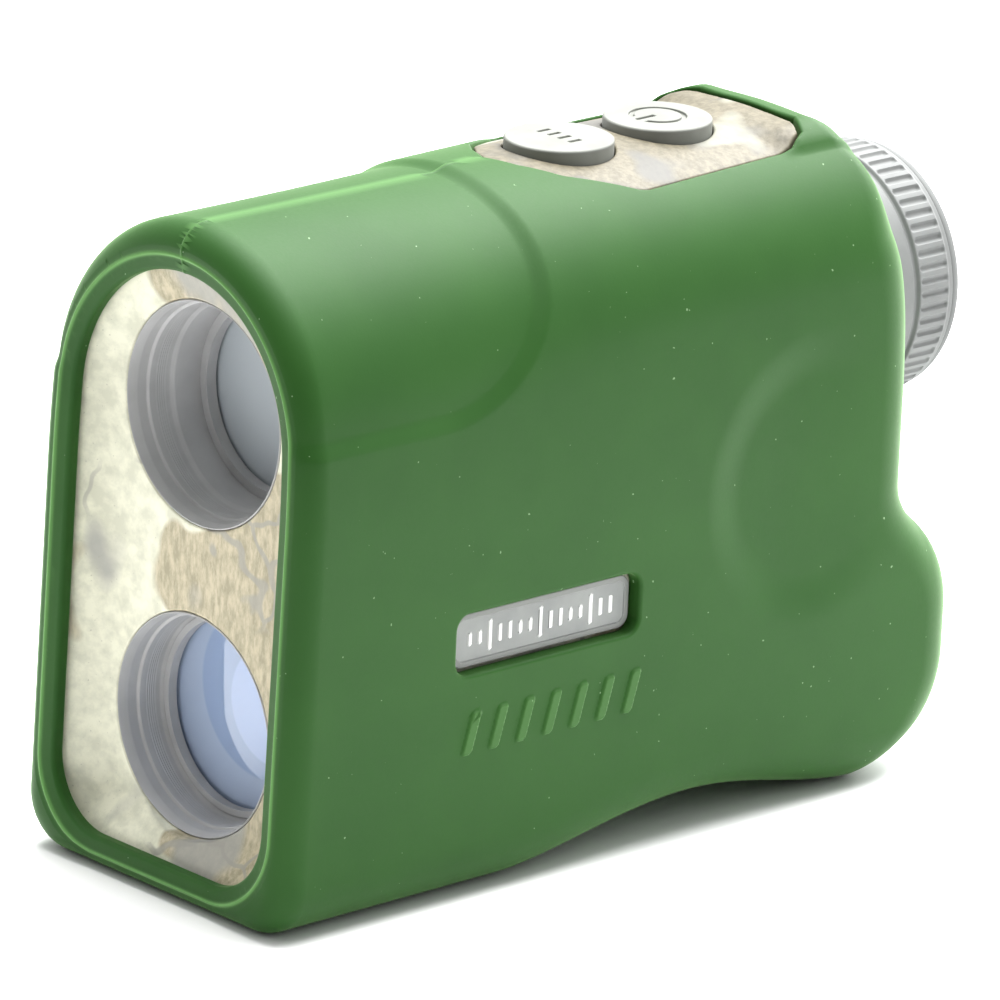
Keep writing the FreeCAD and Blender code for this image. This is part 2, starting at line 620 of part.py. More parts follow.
def make_cap_tab():
    plate = box(-6.7, 6.7, 49.45, 50.3, BATTERY_Z - 2.4, TAB_PIN_Z)
    grip = cyl_y(2.4, 49, 51, BATTERY_Z - 3.2)
    knuckle = cyl_x(0.8, -6.7, 6.7, TAB_PIN_Y, TAB_PIN_Z)
    return join([plate.cut(grip), knuckle]).cut(cyl_x(0.5, -8, 8, TAB_PIN_Y, TAB_PIN_Z))


# ---- trim and fasteners ----
def make_badge(side):
    """Thin plate stuck on the housing, with a slightly sunk field."""
    near, far = HALF_WIDTH - SKIN, HALF_WIDTH - BADGE_SINK
    length, height = BADGE_LENGTH - 2 * BADGE_GAP, BADGE_HEIGHT - 2 * BADGE_GAP
    x0, x1 = sorted((side * near, side * far))
    plate = round_plate(length, height, 1.5, x0, x1, BADGE_Y, BADGE_Z)
    p0, p1 = sorted((side * (far - 0.12), side * (far + 1)))
    field = round_plate(length - 2 * BADGE_BORDER, height - 2 * BADGE_BORDER, 1.0, p0, p1, BADGE_Y, BADGE_Z)
    return plate.cut(field)


def make_housing_screws():
    screws = []
    for y, z in SCREW_SPOTS:
        slot = box(-11, -9.0, y - 0.25, y + 0.25, z - 1.2, z + 1.2)
        screws.append(join([cyl_x(1.9, -9.6, -8.0, y, z), cyl_x(1.0, -8.0, 8.6, y, z)]).cut(slot))
    return Part.makeCompound(screws)


def make_board_screws():
    screws = []
    for side in (1, -1):
        for y, z in BOARD_POSTS:
            head = sorted((side * 14.0, side * 14.8))
            shank = sorted((side * 14.8, side * 17.8))
            screws.append(join([cyl_x(1.5, head[0], head[1], y, z), cyl_x(0.8, shank[0], shank[1], y, z)]))
    return Part.makeCompound(screws)


def make_eyepiece_screws():
    screws = []
    for dz in (1, -1):
        for dx in (1, -1):
            x, z = dx * 9.3, VIEW_Z + dz * 9.3
            screws.append(join([cyl_y(1.5, 32.8, 33.6, z, x), cyl_y(0.8, 33.6, 38.0, z, x)]))
    return Part.makeCompound(screws)


def build():
    outer = envelope(0.0)
    skin = envelope(SKIN, LIP_T)
    core = envelope(CORE, CORE)
    deck = envelope(DECK_SINK, LIP_T)
    lanyard_bar = cyl_z(0.8, LANYARD_Z - 4.2, LANYARD_Z + 4.2, LANYARD_Y, -19.6)
    parts = {
        "silicone_sleeve": make_sleeve(outer, skin),
        "left_housing_shell": make_shell(1, skin, core),
        "right_housing_shell": make_shell(-1, skin, core),
        "front_bezel": make_bezel(skin),
        "button_panel": make_button_panel(deck, skin),
        "mode_button": cut_mode_mark(make_button(MODE_Y), MODE_Y),
        "power_button": cut_power_mark(make_button(POWER_Y), POWER_Y),
        "button_seals": Part.makeCompound([Part.makeTorus(6.6, 0.28, V(0, y, 74.25), V(0, 0, 1))
                                           for y in (MODE_Y, POWER_Y)]),
        "button_board": make_button_board(),
        "tactile_switches": make_switches(),
        "objective_barrel": make_barrel(VIEW_Z, -33.4, -30.0),
        "objective_retaining_ring": tube_y(11.55, 10.5, -38.4, -37.0, VIEW_Z),
        "objective_lens": lens_y(11.5, -36.6, -34.0, VIEW_Z, 0.3, 0.5),
        "objective_seal": tube_y(11.5, 10.7, -33.9, -33.4, VIEW_Z),
        "receiver_barrel": make_barrel(RECEIVER_Z, -36.6, -36.0),
        "receiver_retaining_ring": tube_y(11.55, 10.8, -42.2, -41.0, RECEIVER_Z),
        "receiver_lens": lens_y(11.5, -40.5, -37.2, RECEIVER_Z, 0.4, 0.0),
        "receiver_seal": tube_y(11.5, 10.7, -37.1, -36.6, RECEIVER_Z),
        "receiver_cone": make_receiver_cone(),
        "apd_module": make_apd(),
        "receiver_board": make_receiver_board(),
        "apd_shield": make_apd_shield(),
        "prism_holder": make_prism_holder(),
        "half_prism": make_half_prism(),
        "roof_prism": make_roof_prism(),
        "laser_module": make_laser_module(),
        "laser_diode": make_laser_diode(),
        "collimator_lens": make_collimator(),
        "lcd_frame": make_lcd_frame(),
        "lcd_panel": box(-7.5, 7.5, 12.1, 13.3, 46.7, 61.7),
        "lcd_flex_cable": make_lcd_flex(),
        "main_board": make_side_board(-1),
        "main_board_chips": make_main_chips(),
        "driver_board": make_side_board(1),
        "driver_components": make_driver_parts(),
        "board_screws": make_board_screws(),
        "battery_tube": make_battery_tube(),
        "battery": make_battery(),
        "battery_spring": make_battery_spring(),
        "battery_cap": make_battery_cap(),
        "battery_cap_seal": torus_y(7.69, 0.29, 48.45, BATTERY_Z),
        "battery_contact_plate": cyl_y(5.0, 45.0, 45.6, BATTERY_Z),
        "cap_tab": make_cap_tab(),
        "cap_tab_pin": cyl_x(0.42, -7.7, 7.7, TAB_PIN_Y, TAB_PIN_Z),
        "eyepiece_tube": make_eyepiece_tube(),
        "eyepiece_screws": make_eyepiece_screws(),
        "ocular_cell": make_ocular_cell(),
        "field_lens": lens_y(8.9, 33.6, 36.3, VIEW_Z, 0.8, 0.0),
        "eye_lens": lens_y(8.9, 43.6, 46.6, VIEW_Z, 0.0, 0.8),
        "ocular_seal": torus_y(10.2, 0.3, 47.45, VIEW_Z),
        "diopter_ring": make_diopter_ring(),
        "eyecup": make_eyecup(),
        "left_badge_plate": make_badge(1),
        "right_badge_plate": make_badge(-1),
        "lanyard_bar": lanyard_bar,
        "housing_screws": make_housing_screws(),
    }
    for name, shape in parts.items():
        solids = shape.Solids
        kept = solids[0] if len(solids) == 1 else Part.makeCompound(solids)
        kept.exportStep("parts/" + name + ".step")
        print(name, len(solids), all(s.isValid() for s in solids), round(kept.Volume, 1))


build()
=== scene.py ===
"""Looks of a laser rangefinder in its silicone sleeve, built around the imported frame.

Lengths in the sizes below are millimetres; a mesh turns into metres only when its object is made.
Most visible pieces are surfaces of a signed distance field: a function that is negative inside the
piece. A coarse net is laid on the field's zero level, pulled onto it, and split where it bends.
"""
import json
import math

import bpy
import numpy as np
from mathutils import Matrix, Vector


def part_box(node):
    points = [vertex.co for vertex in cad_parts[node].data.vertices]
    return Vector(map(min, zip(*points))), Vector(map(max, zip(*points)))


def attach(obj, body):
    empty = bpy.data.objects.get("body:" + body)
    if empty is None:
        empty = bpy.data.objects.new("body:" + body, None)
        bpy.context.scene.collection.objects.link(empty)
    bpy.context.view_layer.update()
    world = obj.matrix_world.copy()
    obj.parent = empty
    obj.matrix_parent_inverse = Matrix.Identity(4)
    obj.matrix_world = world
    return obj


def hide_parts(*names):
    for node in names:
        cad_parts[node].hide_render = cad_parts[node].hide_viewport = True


MM = 0.001
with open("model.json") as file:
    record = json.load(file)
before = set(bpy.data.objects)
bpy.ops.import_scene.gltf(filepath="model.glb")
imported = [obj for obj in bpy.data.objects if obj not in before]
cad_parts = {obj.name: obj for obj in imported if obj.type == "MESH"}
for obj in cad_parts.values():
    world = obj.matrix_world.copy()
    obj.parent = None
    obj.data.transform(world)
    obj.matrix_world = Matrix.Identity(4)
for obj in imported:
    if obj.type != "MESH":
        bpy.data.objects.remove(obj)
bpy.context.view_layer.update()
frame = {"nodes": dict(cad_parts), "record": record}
NODES = frame["nodes"]


def box_mm(node):
    lo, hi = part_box(node)
    return np.array(lo) / MM, np.array(hi) / MM


def centre_mm(node):
    lo, hi = box_mm(node)
    return (lo + hi) / 2


# ---- places, from the frame ----
SLEEVE_LO, SLEEVE_HI = box_mm("silicone_sleeve")
VIEW_Z = centre_mm("objective_barrel")[2]
RECEIVER_Z = centre_mm("receiver_barrel")[2]
MOUTH_Y = box_mm("objective_barrel")[0][1]
RING_LO, RING_HI = box_mm("diopter_ring")
RING_R = (RING_HI[0] - RING_LO[0]) / 2
EYE_END_Y = box_mm("eyecup")[1][1]
CAP_LO, CAP_HI = box_mm("battery_cap")
CAP_R = (CAP_HI[0] - CAP_LO[0]) / 2
CAP_Z = centre_mm("battery_cap")[2]
TAB_LO, TAB_HI = box_mm("cap_tab")
TAB_PIN = centre_mm("cap_tab_pin")
BADGE_LO, BADGE_HI = box_mm("left_badge_plate")
BADGE_MID = (BADGE_LO + BADGE_HI) / 2
BADGE_FACE = BADGE_HI[0]
BEZEL_LO, BEZEL_HI = box_mm("front_bezel")
PANEL_LO, PANEL_HI = box_mm("button_panel")
MODE = centre_mm("mode_button")
POWER = centre_mm("power_button")
BUTTON_TOP_Z = box_mm("power_button")[1][2]
LANYARD = centre_mm("lanyard_bar")

# ---- driving sizes of the sleeve ----
RELIEF = 0.3                           # height of the raised bars on the flanks
HALF_WIDTH = SLEEVE_HI[0] - RELIEF
TOP_Z = SLEEVE_HI[2]
SKIN = 2.2                             # sleeve thickness
LIP = 2.2                              # from the front rim back to the printed face
CORNER_R = 6.5                         # long lower corners
RIM_MID_Y, RIM_MID_Z, RIM_LEAN = -52.95, 37.0, 2.13 / 74.0
RIM_R = 3.4                            # rounding of the front rim
REAR_Y, REAR_CURVE_Z, REAR_CURVE_R = 42.0, 54.0, 47.0
REAR_LOW_R, REAR_TOP_R = 7.5, 2.8      # rounding of the rear edges
BULGE_TOP_Z = 32.6
BULGE_SPLIT_Z = 16.5                   # height of the bulge's rearmost line
BULGE_LOW_Y, BULGE_LOW_Z, BULGE_LOW_R = 36.6, 14.0, 14.0
BULGE_HIGH_Y, BULGE_HIGH_Z, BULGE_HIGH_R = 37.1, 19.1, 13.5
RIDGE_TOP_Z = TOP_Z - 0.1              # flat-topped ridge behind the buttons
RIDGE_HALF_TOP, RIDGE_HALF_WIDTH = 9.9, 12.6
RIDGE_START_Y, RIDGE_RUN = 26.5, 3.5
ARCH_Y, ARCH_HEIGHT = 10.0, 3.6        # finger arch under the belly
CREASE_Y, CREASE_Z, CREASE_R = -14.5, 55.8, 18.0
CREASE_DEPTH, CREASE_WIDTH = 0.6, 2.4
SCOOP_Y, SCOOP_Z, SCOOP_R = 24.8, 39.6, 15.4
SCOOP_DEPTH, SCOOP_EDGE = 0.75, 6.0    # the edge is the width of the slope round a scoop
FLASH_OUT = 1.9                        # from the opening's edge out to the moulding flash
BADGE_WINDOW = (13.65, 3.55, 1.8)      # half length, half height and corner radius
LANYARD_SLOT = (4.5, 4.5, 2.0)
MOTIF_PITCH, MOTIF_COUNT, MOTIF_Z = 4.0, 7, 19.7

# ---- other sizes ----
SHELL_WALL = 2.0
MOUTH_R = 12.25
NOSE_R = 12.72                         # barrel nose in the printed face
THREAD_R, SEAT_R = 11.9, 11.58
BUTTON_R, BUTTON_DOME = 6.2, 0.15
DECK_SINK = 0.5                        # button deck below the sleeve's outer face
DECK_SHADE = 0.31                      # painted shade: the deck's film is printed darker because it lies under the brightest light
RIB_COUNT, RIB_START_Y, RIB_END_Y, RIB_DEPTH = 60, 47.3, 51.5, 0.34


# ---- distance fields ----
def smooth_step(t):
    t = np.clip(t, 0.0, 1.0)
    return t * t * (3 - 2 * t)


def both(a, b, r):
    """Intersection whose edge is rounded to radius r."""
    return np.minimum(np.maximum(a, b), -r) + np.hypot(np.maximum(a + r, 0), np.maximum(b + r, 0))


def either(a, b, r):
    """Union whose inner corner is filled to radius r."""
    return np.maximum(np.minimum(a, b), r) - np.hypot(np.maximum(r - a, 0), np.maximum(r - b, 0))


def round_rect(u, v, half_u, half_v, r):
    du, dv = np.abs(u) - half_u + r, np.abs(v) - half_v + r
    return np.minimum(np.maximum(du, dv), 0) + np.hypot(np.maximum(du, 0), np.maximum(dv, 0)) - r


def polygon(u, v, points):
    """Signed distance to a closed polygon in the u-v plane."""
    best = np.full(np.shape(u), 1e9)
    sign = np.ones(np.shape(u))
    for (ua, va), (ub, vb) in zip(points, points[1:] + points[:1]):
        eu, ev = ub - ua, vb - va
        t = np.clip(((u - ua) * eu + (v - va) * ev) / (eu * eu + ev * ev), 0, 1)
        best = np.minimum(best, (u - ua - t * eu) ** 2 + (v - va - t * ev) ** 2)
        above, below = (v >= va) & (v < vb), (v < va) & (v >= vb)
        side = eu * (v - va) - ev * (u - ua)
        sign = np.where((above & (side > 0)) | (below & (side < 0)), -sign, sign)
    return sign * np.sqrt(best)


def arch(x, z, half, floor, corner, top, crown_r, crown_deg, lean_deg, side_r=177.5):
    """Signed distance to an arched outline: flat floor, round corners, leaning sides, round crown."""
    crown_a, lean = math.radians(crown_deg), math.radians(lean_deg)
    lean_x = half - side_r * (1 - math.cos(lean))
    shoulder_r = (lean_x - crown_r * math.sin(crown_a)) / (math.cos(lean) - math.sin(crown_a))
    cx = lean_x - shoulder_r * math.cos(lean)
    cz = top - crown_r * (1 - math.cos(crown_a)) - shoulder_r * math.cos(crown_a)
    side_z = cz + shoulder_r * math.sin(lean) - side_r * math.sin(lean)
    ax = np.abs(x)
    crown = np.hypot(ax, z - (top - crown_r)) - crown_r
    shoulder = np.hypot(ax - cx, z - cz) - shoulder_r
    side = np.hypot(ax - half + side_r, z - side_z) - side_r
    lower = round_rect(x, z - floor - 100, half, 100, corner)
    angle = np.arctan2(ax - cx, z - cz)
    d = np.where(z > side_z, side, lower)
    d = np.where(angle < math.pi / 2 - lean, shoulder, d)
    d = np.where((z > cz) & (np.arctan2(ax, z - (top - crown_r)) < crown_a), crown, d)
    return np.where(z < side_z, lower, d)


def rim_y(z):
    return RIM_MID_Y + RIM_LEAN * (z - RIM_MID_Z)


def crease_side(y, z):
    """Positive inside the slightly sunk front upper region, as a distance from its crease."""
    return -both(CREASE_Z - z, y - CREASE_Y, CREASE_R)


def opening(x, z):
    """Signed distance to the front opening of the sleeve."""
    return arch(x, z, 17.4, 3.9, 8.0, 70.7, 17.0, 30.0, 3.0)


def cross_section(x, y, z):
    """Long form of the body: a narrower crown in front, a wider one behind, then the ridge."""
    rise = np.where(y < ARCH_Y, (y + 19) / 29, (36 - y) / 26)
    rise = ARCH_HEIGHT * np.sin(np.clip(rise, 0, 1) * math.pi / 2) ** 1.6
    lifted = z - rise * (1 - smooth_step((z - 7) / 14))
    front = arch(x, lifted, HALF_WIDTH, 0, CORNER_R, TOP_Z - 0.1, 22.0, 35.0, 3.9)
    rear = arch(x, lifted, HALF_WIDTH, 0, CORNER_R, TOP_Z, 29.0, 20.0, 5.5)
    section = front + (rear - front) * smooth_step((y + 40) / 50)
    slope_out = (np.abs(x) - RIDGE_HALF_TOP + z - RIDGE_TOP_Z) * math.sqrt(0.5)
    ridge = both(both(z - RIDGE_TOP_Z, slope_out, 1.6), np.abs(x) - RIDGE_HALF_WIDTH, 1.0)
    raised = np.where(z > VIEW_Z, either(section, ridge, 0.4), section)
    return section + (raised - section) * smooth_step((y - RIDGE_START_Y) / RIDGE_RUN)


def sunk(x, y, z):
    """Depth of the sunk front upper region and of the finger scoops."""
    crease = CREASE_DEPTH * smooth_step(crease_side(y, z) / CREASE_WIDTH + 0.5)
    inside = SCOOP_R - np.hypot(y - SCOOP_Y, z - SCOOP_Z)
    fade = 1 - 0.9 * smooth_step((y - 18) / 20)
    flank = smooth_step((np.abs(x) - 14) / 4)
    return crease + SCOOP_DEPTH * fade * flank * smooth_step(inside / SCOOP_EDGE + 0.35)


def lip_shape(x, z):
    """Slight dish of the front rim round the opening, with the moulding flash standing in it."""
    out = opening(x, z)
    return 0.6 * np.clip(1 - out / 2.8, 0, 1) - 0.18 * np.exp(-((out - FLASH_OUT) / 0.16) ** 2)


def back_profile(y, z):
    """Rear wall, curving forward at the top, and the battery bulge below the eyepiece."""
    share = np.maximum(z - REAR_CURVE_Z, 0) / REAR_CURVE_R
    wall = REAR_Y - REAR_CURVE_R * (1 - np.sqrt(np.clip(1 - share ** 2, 0.01, 1)))
    low = np.hypot(np.maximum(y - BULGE_LOW_Y, 0), np.minimum(z - BULGE_LOW_Z, 0)) - BULGE_LOW_R
    high = np.hypot(np.maximum(y - BULGE_HIGH_Y, 0), np.maximum(z - BULGE_HIGH_Z, 0)) - BULGE_HIGH_R
    bulge = np.where(z < BULGE_SPLIT_Z, np.maximum(low, -z), np.maximum(high, z - BULGE_TOP_Z))
    return either(y - wall, np.maximum(bulge, 20 - y), 3.0)


def body_field(x, y, z, shaped):
    """Outer form of the sleeve. The crease, scoops and lip are added only if shaped is true."""
    section, front_face = cross_section(x, y, z), rim_y(z) - y
    if shaped:
        section = section + sunk(x, y, z)
        front_face = front_face + lip_shape(x, z)
    edge_r = REAR_LOW_R - (REAR_LOW_R - REAR_TOP_R) * smooth_step((z - 64) / 10)
    return both(both(section, front_face, RIM_R), back_profile(y, z), edge_r)


WINDOW_SIDE = [(3.6, -6.3), (7.6, -3.0), (12.1, 4.4), (12.4, 5.6), (12.3, 8.0), (11.4, 28.5),
               (10.3, 31.0), (7.6, 32.4)]
WINDOW = [(0, -7.9)] + WINDOW_SIDE + [(-x, y) for x, y in reversed(WINDOW_SIDE)]


def window(x, y, inset=0.0):
    """Signed distance to the button window, seen from above."""
    return polygon(x, y, WINDOW) + inset


def motif(y, z):
    """Raised slanted bars below the badge: negative inside a bar."""
    along = y - (z - MOTIF_Z) * 0.29 - (BADGE_MID[1] - 11.15 - MOTIF_PITCH / 2)
    d = round_rect(np.mod(along, MOTIF_PITCH) - MOTIF_PITCH / 2, z - MOTIF_Z, 0.7, 2.4, 0.5)
    return np.where((along < 0) | (along > MOTIF_COUNT * MOTIF_PITCH), 5.0, d)


def sleeve_field(x, y, z):
    """The sleeve with its raised bars and its parting seam."""
    bars = smooth_step(0.5 - motif(y, z) / 0.4) * (np.abs(x) > 18)
    outer = body_field(x, y, z, True) - RELIEF * bars
    ridge = np.exp(-(x / 0.14) ** 2) * (z > 60) * smooth_step((-8.6 - y) / 0.6)
    return hollowed(outer - 0.12 * ridge, x, y, z)


def plain_sleeve(x, y, z):
    return hollowed(body_field(x, y, z, True), x, y, z)


def hollowed(outer, x, y, z):
    """Cuts the cavity and the openings out of the sleeve's outer form."""
    cavity = np.maximum(body_field(x, y, z, False) + SKIN, rim_y(z) + LIP - y)
    d = both(outer, -cavity, 0.35)
    hole = np.where(y < -40, opening(x, z), 50.0)
    hole = np.minimum(hole, np.where(z > 60, window(x, y), 50.0))
    hole = np.minimum(hole, np.where(y > 30, np.hypot(x, z - VIEW_Z) - RING_R - 0.6, 50.0))
    hole = np.minimum(hole, np.where(y > 43, np.hypot(x, z - CAP_Z) - CAP_R - 0.5, 50.0))
    badge = round_rect(y - BADGE_MID[1], z - BADGE_MID[2], *BADGE_WINDOW)
    hole = np.minimum(hole, np.where(np.abs(x) > 16, badge, 50.0))
    slot = round_rect(y - LANYARD[1], z - LANYARD[2], *LANYARD_SLOT)
    hole = np.minimum(hole, np.where(x < -16, slot, 50.0))
    return both(d, -hole, 0.45)


def sleeve_grain(x, y, z):
    """Longest mesh edge wanted at a place on the sleeve, where details are finer than the net."""
    flash_and_painted_highlight = (np.abs(opening(x, z) - FLASH_OUT) < 0.7) & (y < rim_y(z) + 1.5)
    seam = (np.abs(x) < 0.5) & (z > 60) & (y < -8)
    bars = (np.abs(motif(y, z)) < 0.6) & (np.abs(x) > HALF_WIDTH - 0.8)
    crease = (np.abs(crease_side(y, z)) < CREASE_WIDTH) & (y > rim_y(z) + 1)
    scoop = (np.abs(SCOOP_R - np.hypot(y - SCOOP_Y, z - SCOOP_Z)) < SCOOP_EDGE) & (np.abs(x) > 14)
    return np.where(flash_and_painted_highlight | seam, 0.3, np.where(bars, 0.4, np.where(crease | scoop, 0.8, 99.0)))


def housing_field(side):
    """One half of the clamshell housing; side is +1 or -1."""
    def field(x, y, z):
        outer = body_field(x, y, z, False) + SKIN + 0.05
        d = both(outer, -outer - SHELL_WALL, 0.2)
        boss = np.maximum(round_rect(y - LANYARD[1], z - LANYARD[2], 5.0, 5.0, 0.3), x + 15.5)
        d = np.minimum(d, np.maximum(boss, outer)) if side < 0 else d
        d = both(d, 0.03 - side * x, 0.15)
        d = both(d, BEZEL_HI[1] + 0.03 - y, 0.15)
        hole = np.where(y > 30, np.hypot(x, z - VIEW_Z) - 12.15, 50.0)
        hole = np.minimum(hole, np.where(y > 30, np.hypot(x, z - CAP_Z) - 9.4, 50.0))
        hole = np.minimum(hole, np.where(z > 68, round_rect(x, y - 10.9, 9.0, 15.1, 0.5), 50.0))
        pocket = round_rect(y - LANYARD[1], z - LANYARD[2], 3.5, 3.5, 0.3)
        hole = np.minimum(hole, np.where(x < -17, pocket, 50.0))
        return both(d, -hole, 0.2)
    return field


def bezel_field(x, y, z):
    """Printed face, sunk towards the lens mouths."""
    outer = body_field(x, y, z, False) + SKIN + 0.05
    sink = smooth_step(-arch(x, z, 19.4, 2.4, 5.5, 72.4, 18.2, 30.0, 3.0) / 6.5)
    border = rim_y(z) + LIP + 0.05
    d = both(outer, border + (MOUTH_Y - border) * sink - y, 0.4)
    d = both(d, y - BEZEL_HI[1], 0.2)
    mouths = np.minimum(np.hypot(x, z - VIEW_Z), np.hypot(x, z - RECEIVER_Z)) - NOSE_R - 0.06
    return both(d, -mouths, 0.25)


def panel_field(x, y, z):
    """Cover plate in the button window, with the plug under it."""
    skin = body_field(x, y, z, False)
    plate = both(both(skin + DECK_SINK, -skin - SKIN, 0.08), window(x, y, 0.38), 0.2)
    plug = np.maximum(round_rect(x, y - 10.9, 8.9, 15.0, 0.5), np.maximum(73.2 - z, skin + SKIN - 0.2))
    holes = np.minimum(np.hypot(x, y - MODE[1]), np.hypot(x, y - POWER[1])) - BUTTON_R - 0.14
    return both(np.minimum(plate, plug), -holes, 0.25)


def mode_mark(x, y):
    """Four short bars in a row."""
    pitch = 1.7
    bars = round_rect(np.mod(x, pitch) - pitch / 2, y, 0.3, 0.9, 0.12)
    return np.where(np.abs(x) < 2 * pitch, bars, 9.0)


def power_mark(x, y):
    """Open ring with a stroke through its gap."""
    ring = np.maximum(np.abs(np.hypot(x, y) - 3.0) - 0.3, np.where(y < 0, 1.1 - np.abs(x), -5.0))
    return np.minimum(ring, round_rect(x, y + 1.9, 0.3, 1.4, 0.15))


def button_field(middle_y, mark):
    """Nearly flat round key with a flange and a stem, and a mark sunk in its top."""
    def field(x, y, z):
        y = y - middle_y
        r = np.hypot(x, y)
        top = BUTTON_TOP_Z - BUTTON_DOME * (r / BUTTON_R) ** 2
        d = both(both(r - BUTTON_R, z - top, 0.25), 72.6 - z, 0.1)
        d = np.minimum(d, both(r - 7.35, np.abs(z - 72.6) - 0.4, 0.15))
        d = np.minimum(d, np.maximum(r - 1.6, np.maximum(71.6 - z, z - 73)))
        return both(d, -both(mark(x, y), top - 0.32 - z, 0.1), 0.12)
    return field


def badge_tick(y, z):
    """Generic scale ticks on the badge: negative inside a tick."""
    pitch = 1.5
    along = np.mod(y - BADGE_MID[1] + pitch / 2, pitch) - pitch / 2
    number = np.round((y - BADGE_MID[1]) / pitch)
    tall = np.where(np.mod(number, 5) == 0, 1.7, np.where(np.mod(number, 5) < 2.5, 1.0, 0.7))
    d = np.maximum(np.abs(along) - 0.24, np.abs(z - BADGE_MID[2]) - tall)
    return np.where(np.abs(number) > 7, 5.0, d)


def badge_field(side):
    """Name plate with a sunk field; the maker's print is replaced with a row of ticks."""
    def field(x, y, z):
        depth = side * x
        u, v = y - BADGE_MID[1], z - BADGE_MID[2]
        d = np.maximum(depth - BADGE_FACE, BADGE_LO[0] + 0.02 - depth)
        d = both(d, round_rect(u, v, 13.18, 3.08, 1.5), 0.1)
        pocket = np.maximum(round_rect(u, v, 12.5, 2.4, 1.0), BADGE_FACE - 0.12 - depth)
        d = both(d, -pocket, 0.06)
        tick = np.maximum(badge_tick(y, z), np.maximum(depth - BADGE_FACE + 0.04, BADGE_FACE - 0.3 - depth))
        return np.minimum(d, tick)
    return field


def cap_field(x, y, z):
    """Battery cap with a recess for its fold-out tab."""
    r = np.hypot(x, z - CAP_Z)
    d = both(r - CAP_R + 0.06, np.maximum(y - CAP_HI[1], 48.9 - y), 0.3)
    plug = np.maximum(r - 7.95, np.maximum(45.6 - y, y - 49.2))
    groove = np.maximum(7.4 - r, np.abs(y - 48.45) - 0.35)
    lug = np.maximum(np.maximum(np.abs(x) - 8.75, np.abs(z - CAP_Z) - 1.6), np.abs(y - 46.9) - 0.5)
    d = np.minimum(np.minimum(d, np.maximum(plug, -groove)), np.maximum(lug, r - 8.75))
    recess_lo, recess_hi = CAP_Z - 2.8, TAB_PIN[2] + 1.1
    recess = round_rect(x, z - (recess_lo + recess_hi) / 2, 7.0, (recess_hi - recess_lo) / 2, 0.6)
    return both(d, -np.maximum(recess, 49.15 - y), 0.15)


def tab_field(x, y, z):
    """Fold-out tab of the battery cap: a thin plate with a finger notch and a knuckle."""
    pin = TAB_PIN
    plate = both(round_rect(x, z - (TAB_LO[2] + pin[2]) / 2, 6.6, (pin[2] - TAB_LO[2]) / 2, 1.0),
                 np.abs(y - 49.87) - 0.4, 0.2)
    d = both(plate, 2.4 - np.hypot(x, z - TAB_LO[2] + 0.8), 0.2)
    knuckle = both(np.hypot(y - pin[1], z - pin[2]) - 0.78, np.abs(x) - 6.6, 0.15)
    return both(either(d, knuckle, 0.2), 0.5 - np.hypot(y - pin[1], z - pin[2]), 0.05)


# ---- meshes from fields ----
def slope(field, points):
    """Value and gradient of a field at points, by central differences."""
    step = 0.02
    gradient = np.empty_like(points)
    for axis in range(3):
        shift = np.zeros(3)
        shift[axis] = step
        gradient[:, axis] = (field(*(points + shift).T) - field(*(points - shift).T)) / (2 * step)
    return field(*points.T), gradient


def settle(field, points, rounds=4):
    """Pulls points onto the field's zero level; returns them with their unit normals."""
    for _ in range(rounds):
        value, gradient = slope(field, points)
        square = np.maximum((gradient ** 2).sum(1), 0.05)
        move = np.clip(value / square, -0.4, 0.4)
        points = points - move[:, None] * gradient
    _, gradient = slope(field, points)
    return points, gradient / np.maximum(np.linalg.norm(gradient, axis=1), 1e-6)[:, None]


def graded(lo, hi, fine, coarse, low_band, high_band):
    """Grid lines from lo to hi: fine in a band at each end, coarse between the bands."""
    lo, hi = lo - 1.5 * fine, hi + 1.5 * fine
    low, high = lo + low_band, hi - high_band
    if low >= high:
        return np.linspace(lo, hi, int((hi - lo) / fine) + 2)
    bands = ((lo, low, fine), (low, high, coarse), (high, hi, fine))
    lines = [np.linspace(a, b, int(math.ceil((b - a) / step)) + 1)[:-1] for a, b, step in bands]
    return np.concatenate(lines + [[hi]])


def net(field, axes):
    """Surface net of a field on a grid: one vertex in each mixed cell, one quad round each crossing edge."""
    grid = np.meshgrid(*axes, indexing="ij")
    value = field(*[g.ravel() for g in grid]).reshape(grid[0].shape)
    inside = value < 0
    cells = tuple(n - 1 for n in value.shape)
    total, count = np.zeros(cells + (3,)), np.zeros(cells)
    ring = ((-1, -1), (0, -1), (0, 0), (-1, 0))
    crossings = []
    for axis in range(3):
        turn = [axis, (axis + 1) % 3, (axis + 2) % 3]
        back = np.argsort(turn)
        v, s = value.transpose(turn), inside.transpose(turn)
        at = np.argwhere(s[:-1, 1:-1, 1:-1] != s[1:, 1:-1, 1:-1]) + np.array([0, 1, 1])
        a, b = v[at[:, 0], at[:, 1], at[:, 2]], v[at[:, 0] + 1, at[:, 1], at[:, 2]]
        place = at.astype(float)
        place[:, 0] += a / (a - b)
        place = place[:, back]
        for i in range(3):
            place[:, i] = np.interp(place[:, i], np.arange(len(axes[i])), axes[i])
        around = [(at + np.array([0, j, k]))[:, back] for j, k in ring]
        crossings.append((around, a < 0))
        for cell in around:
            np.add.at(total, tuple(cell.T), place)
            np.add.at(count, tuple(cell.T), 1)
    used = tuple(np.argwhere(count > 0).T)
    ids = np.zeros(cells, np.int64)
    ids[used] = np.arange(len(used[0]))
    quads = []
    for around, solid_first in crossings:
        quad = np.stack([ids[tuple(cell.T)] for cell in around], 1)
        quads.append(np.where(solid_first[:, None], quad, quad[:, ::-1]))
    quads = np.concatenate(quads)
    return total[used] / count[used][:, None], np.concatenate([quads[:, [0, 1, 2]], quads[:, [0, 2, 3]]])


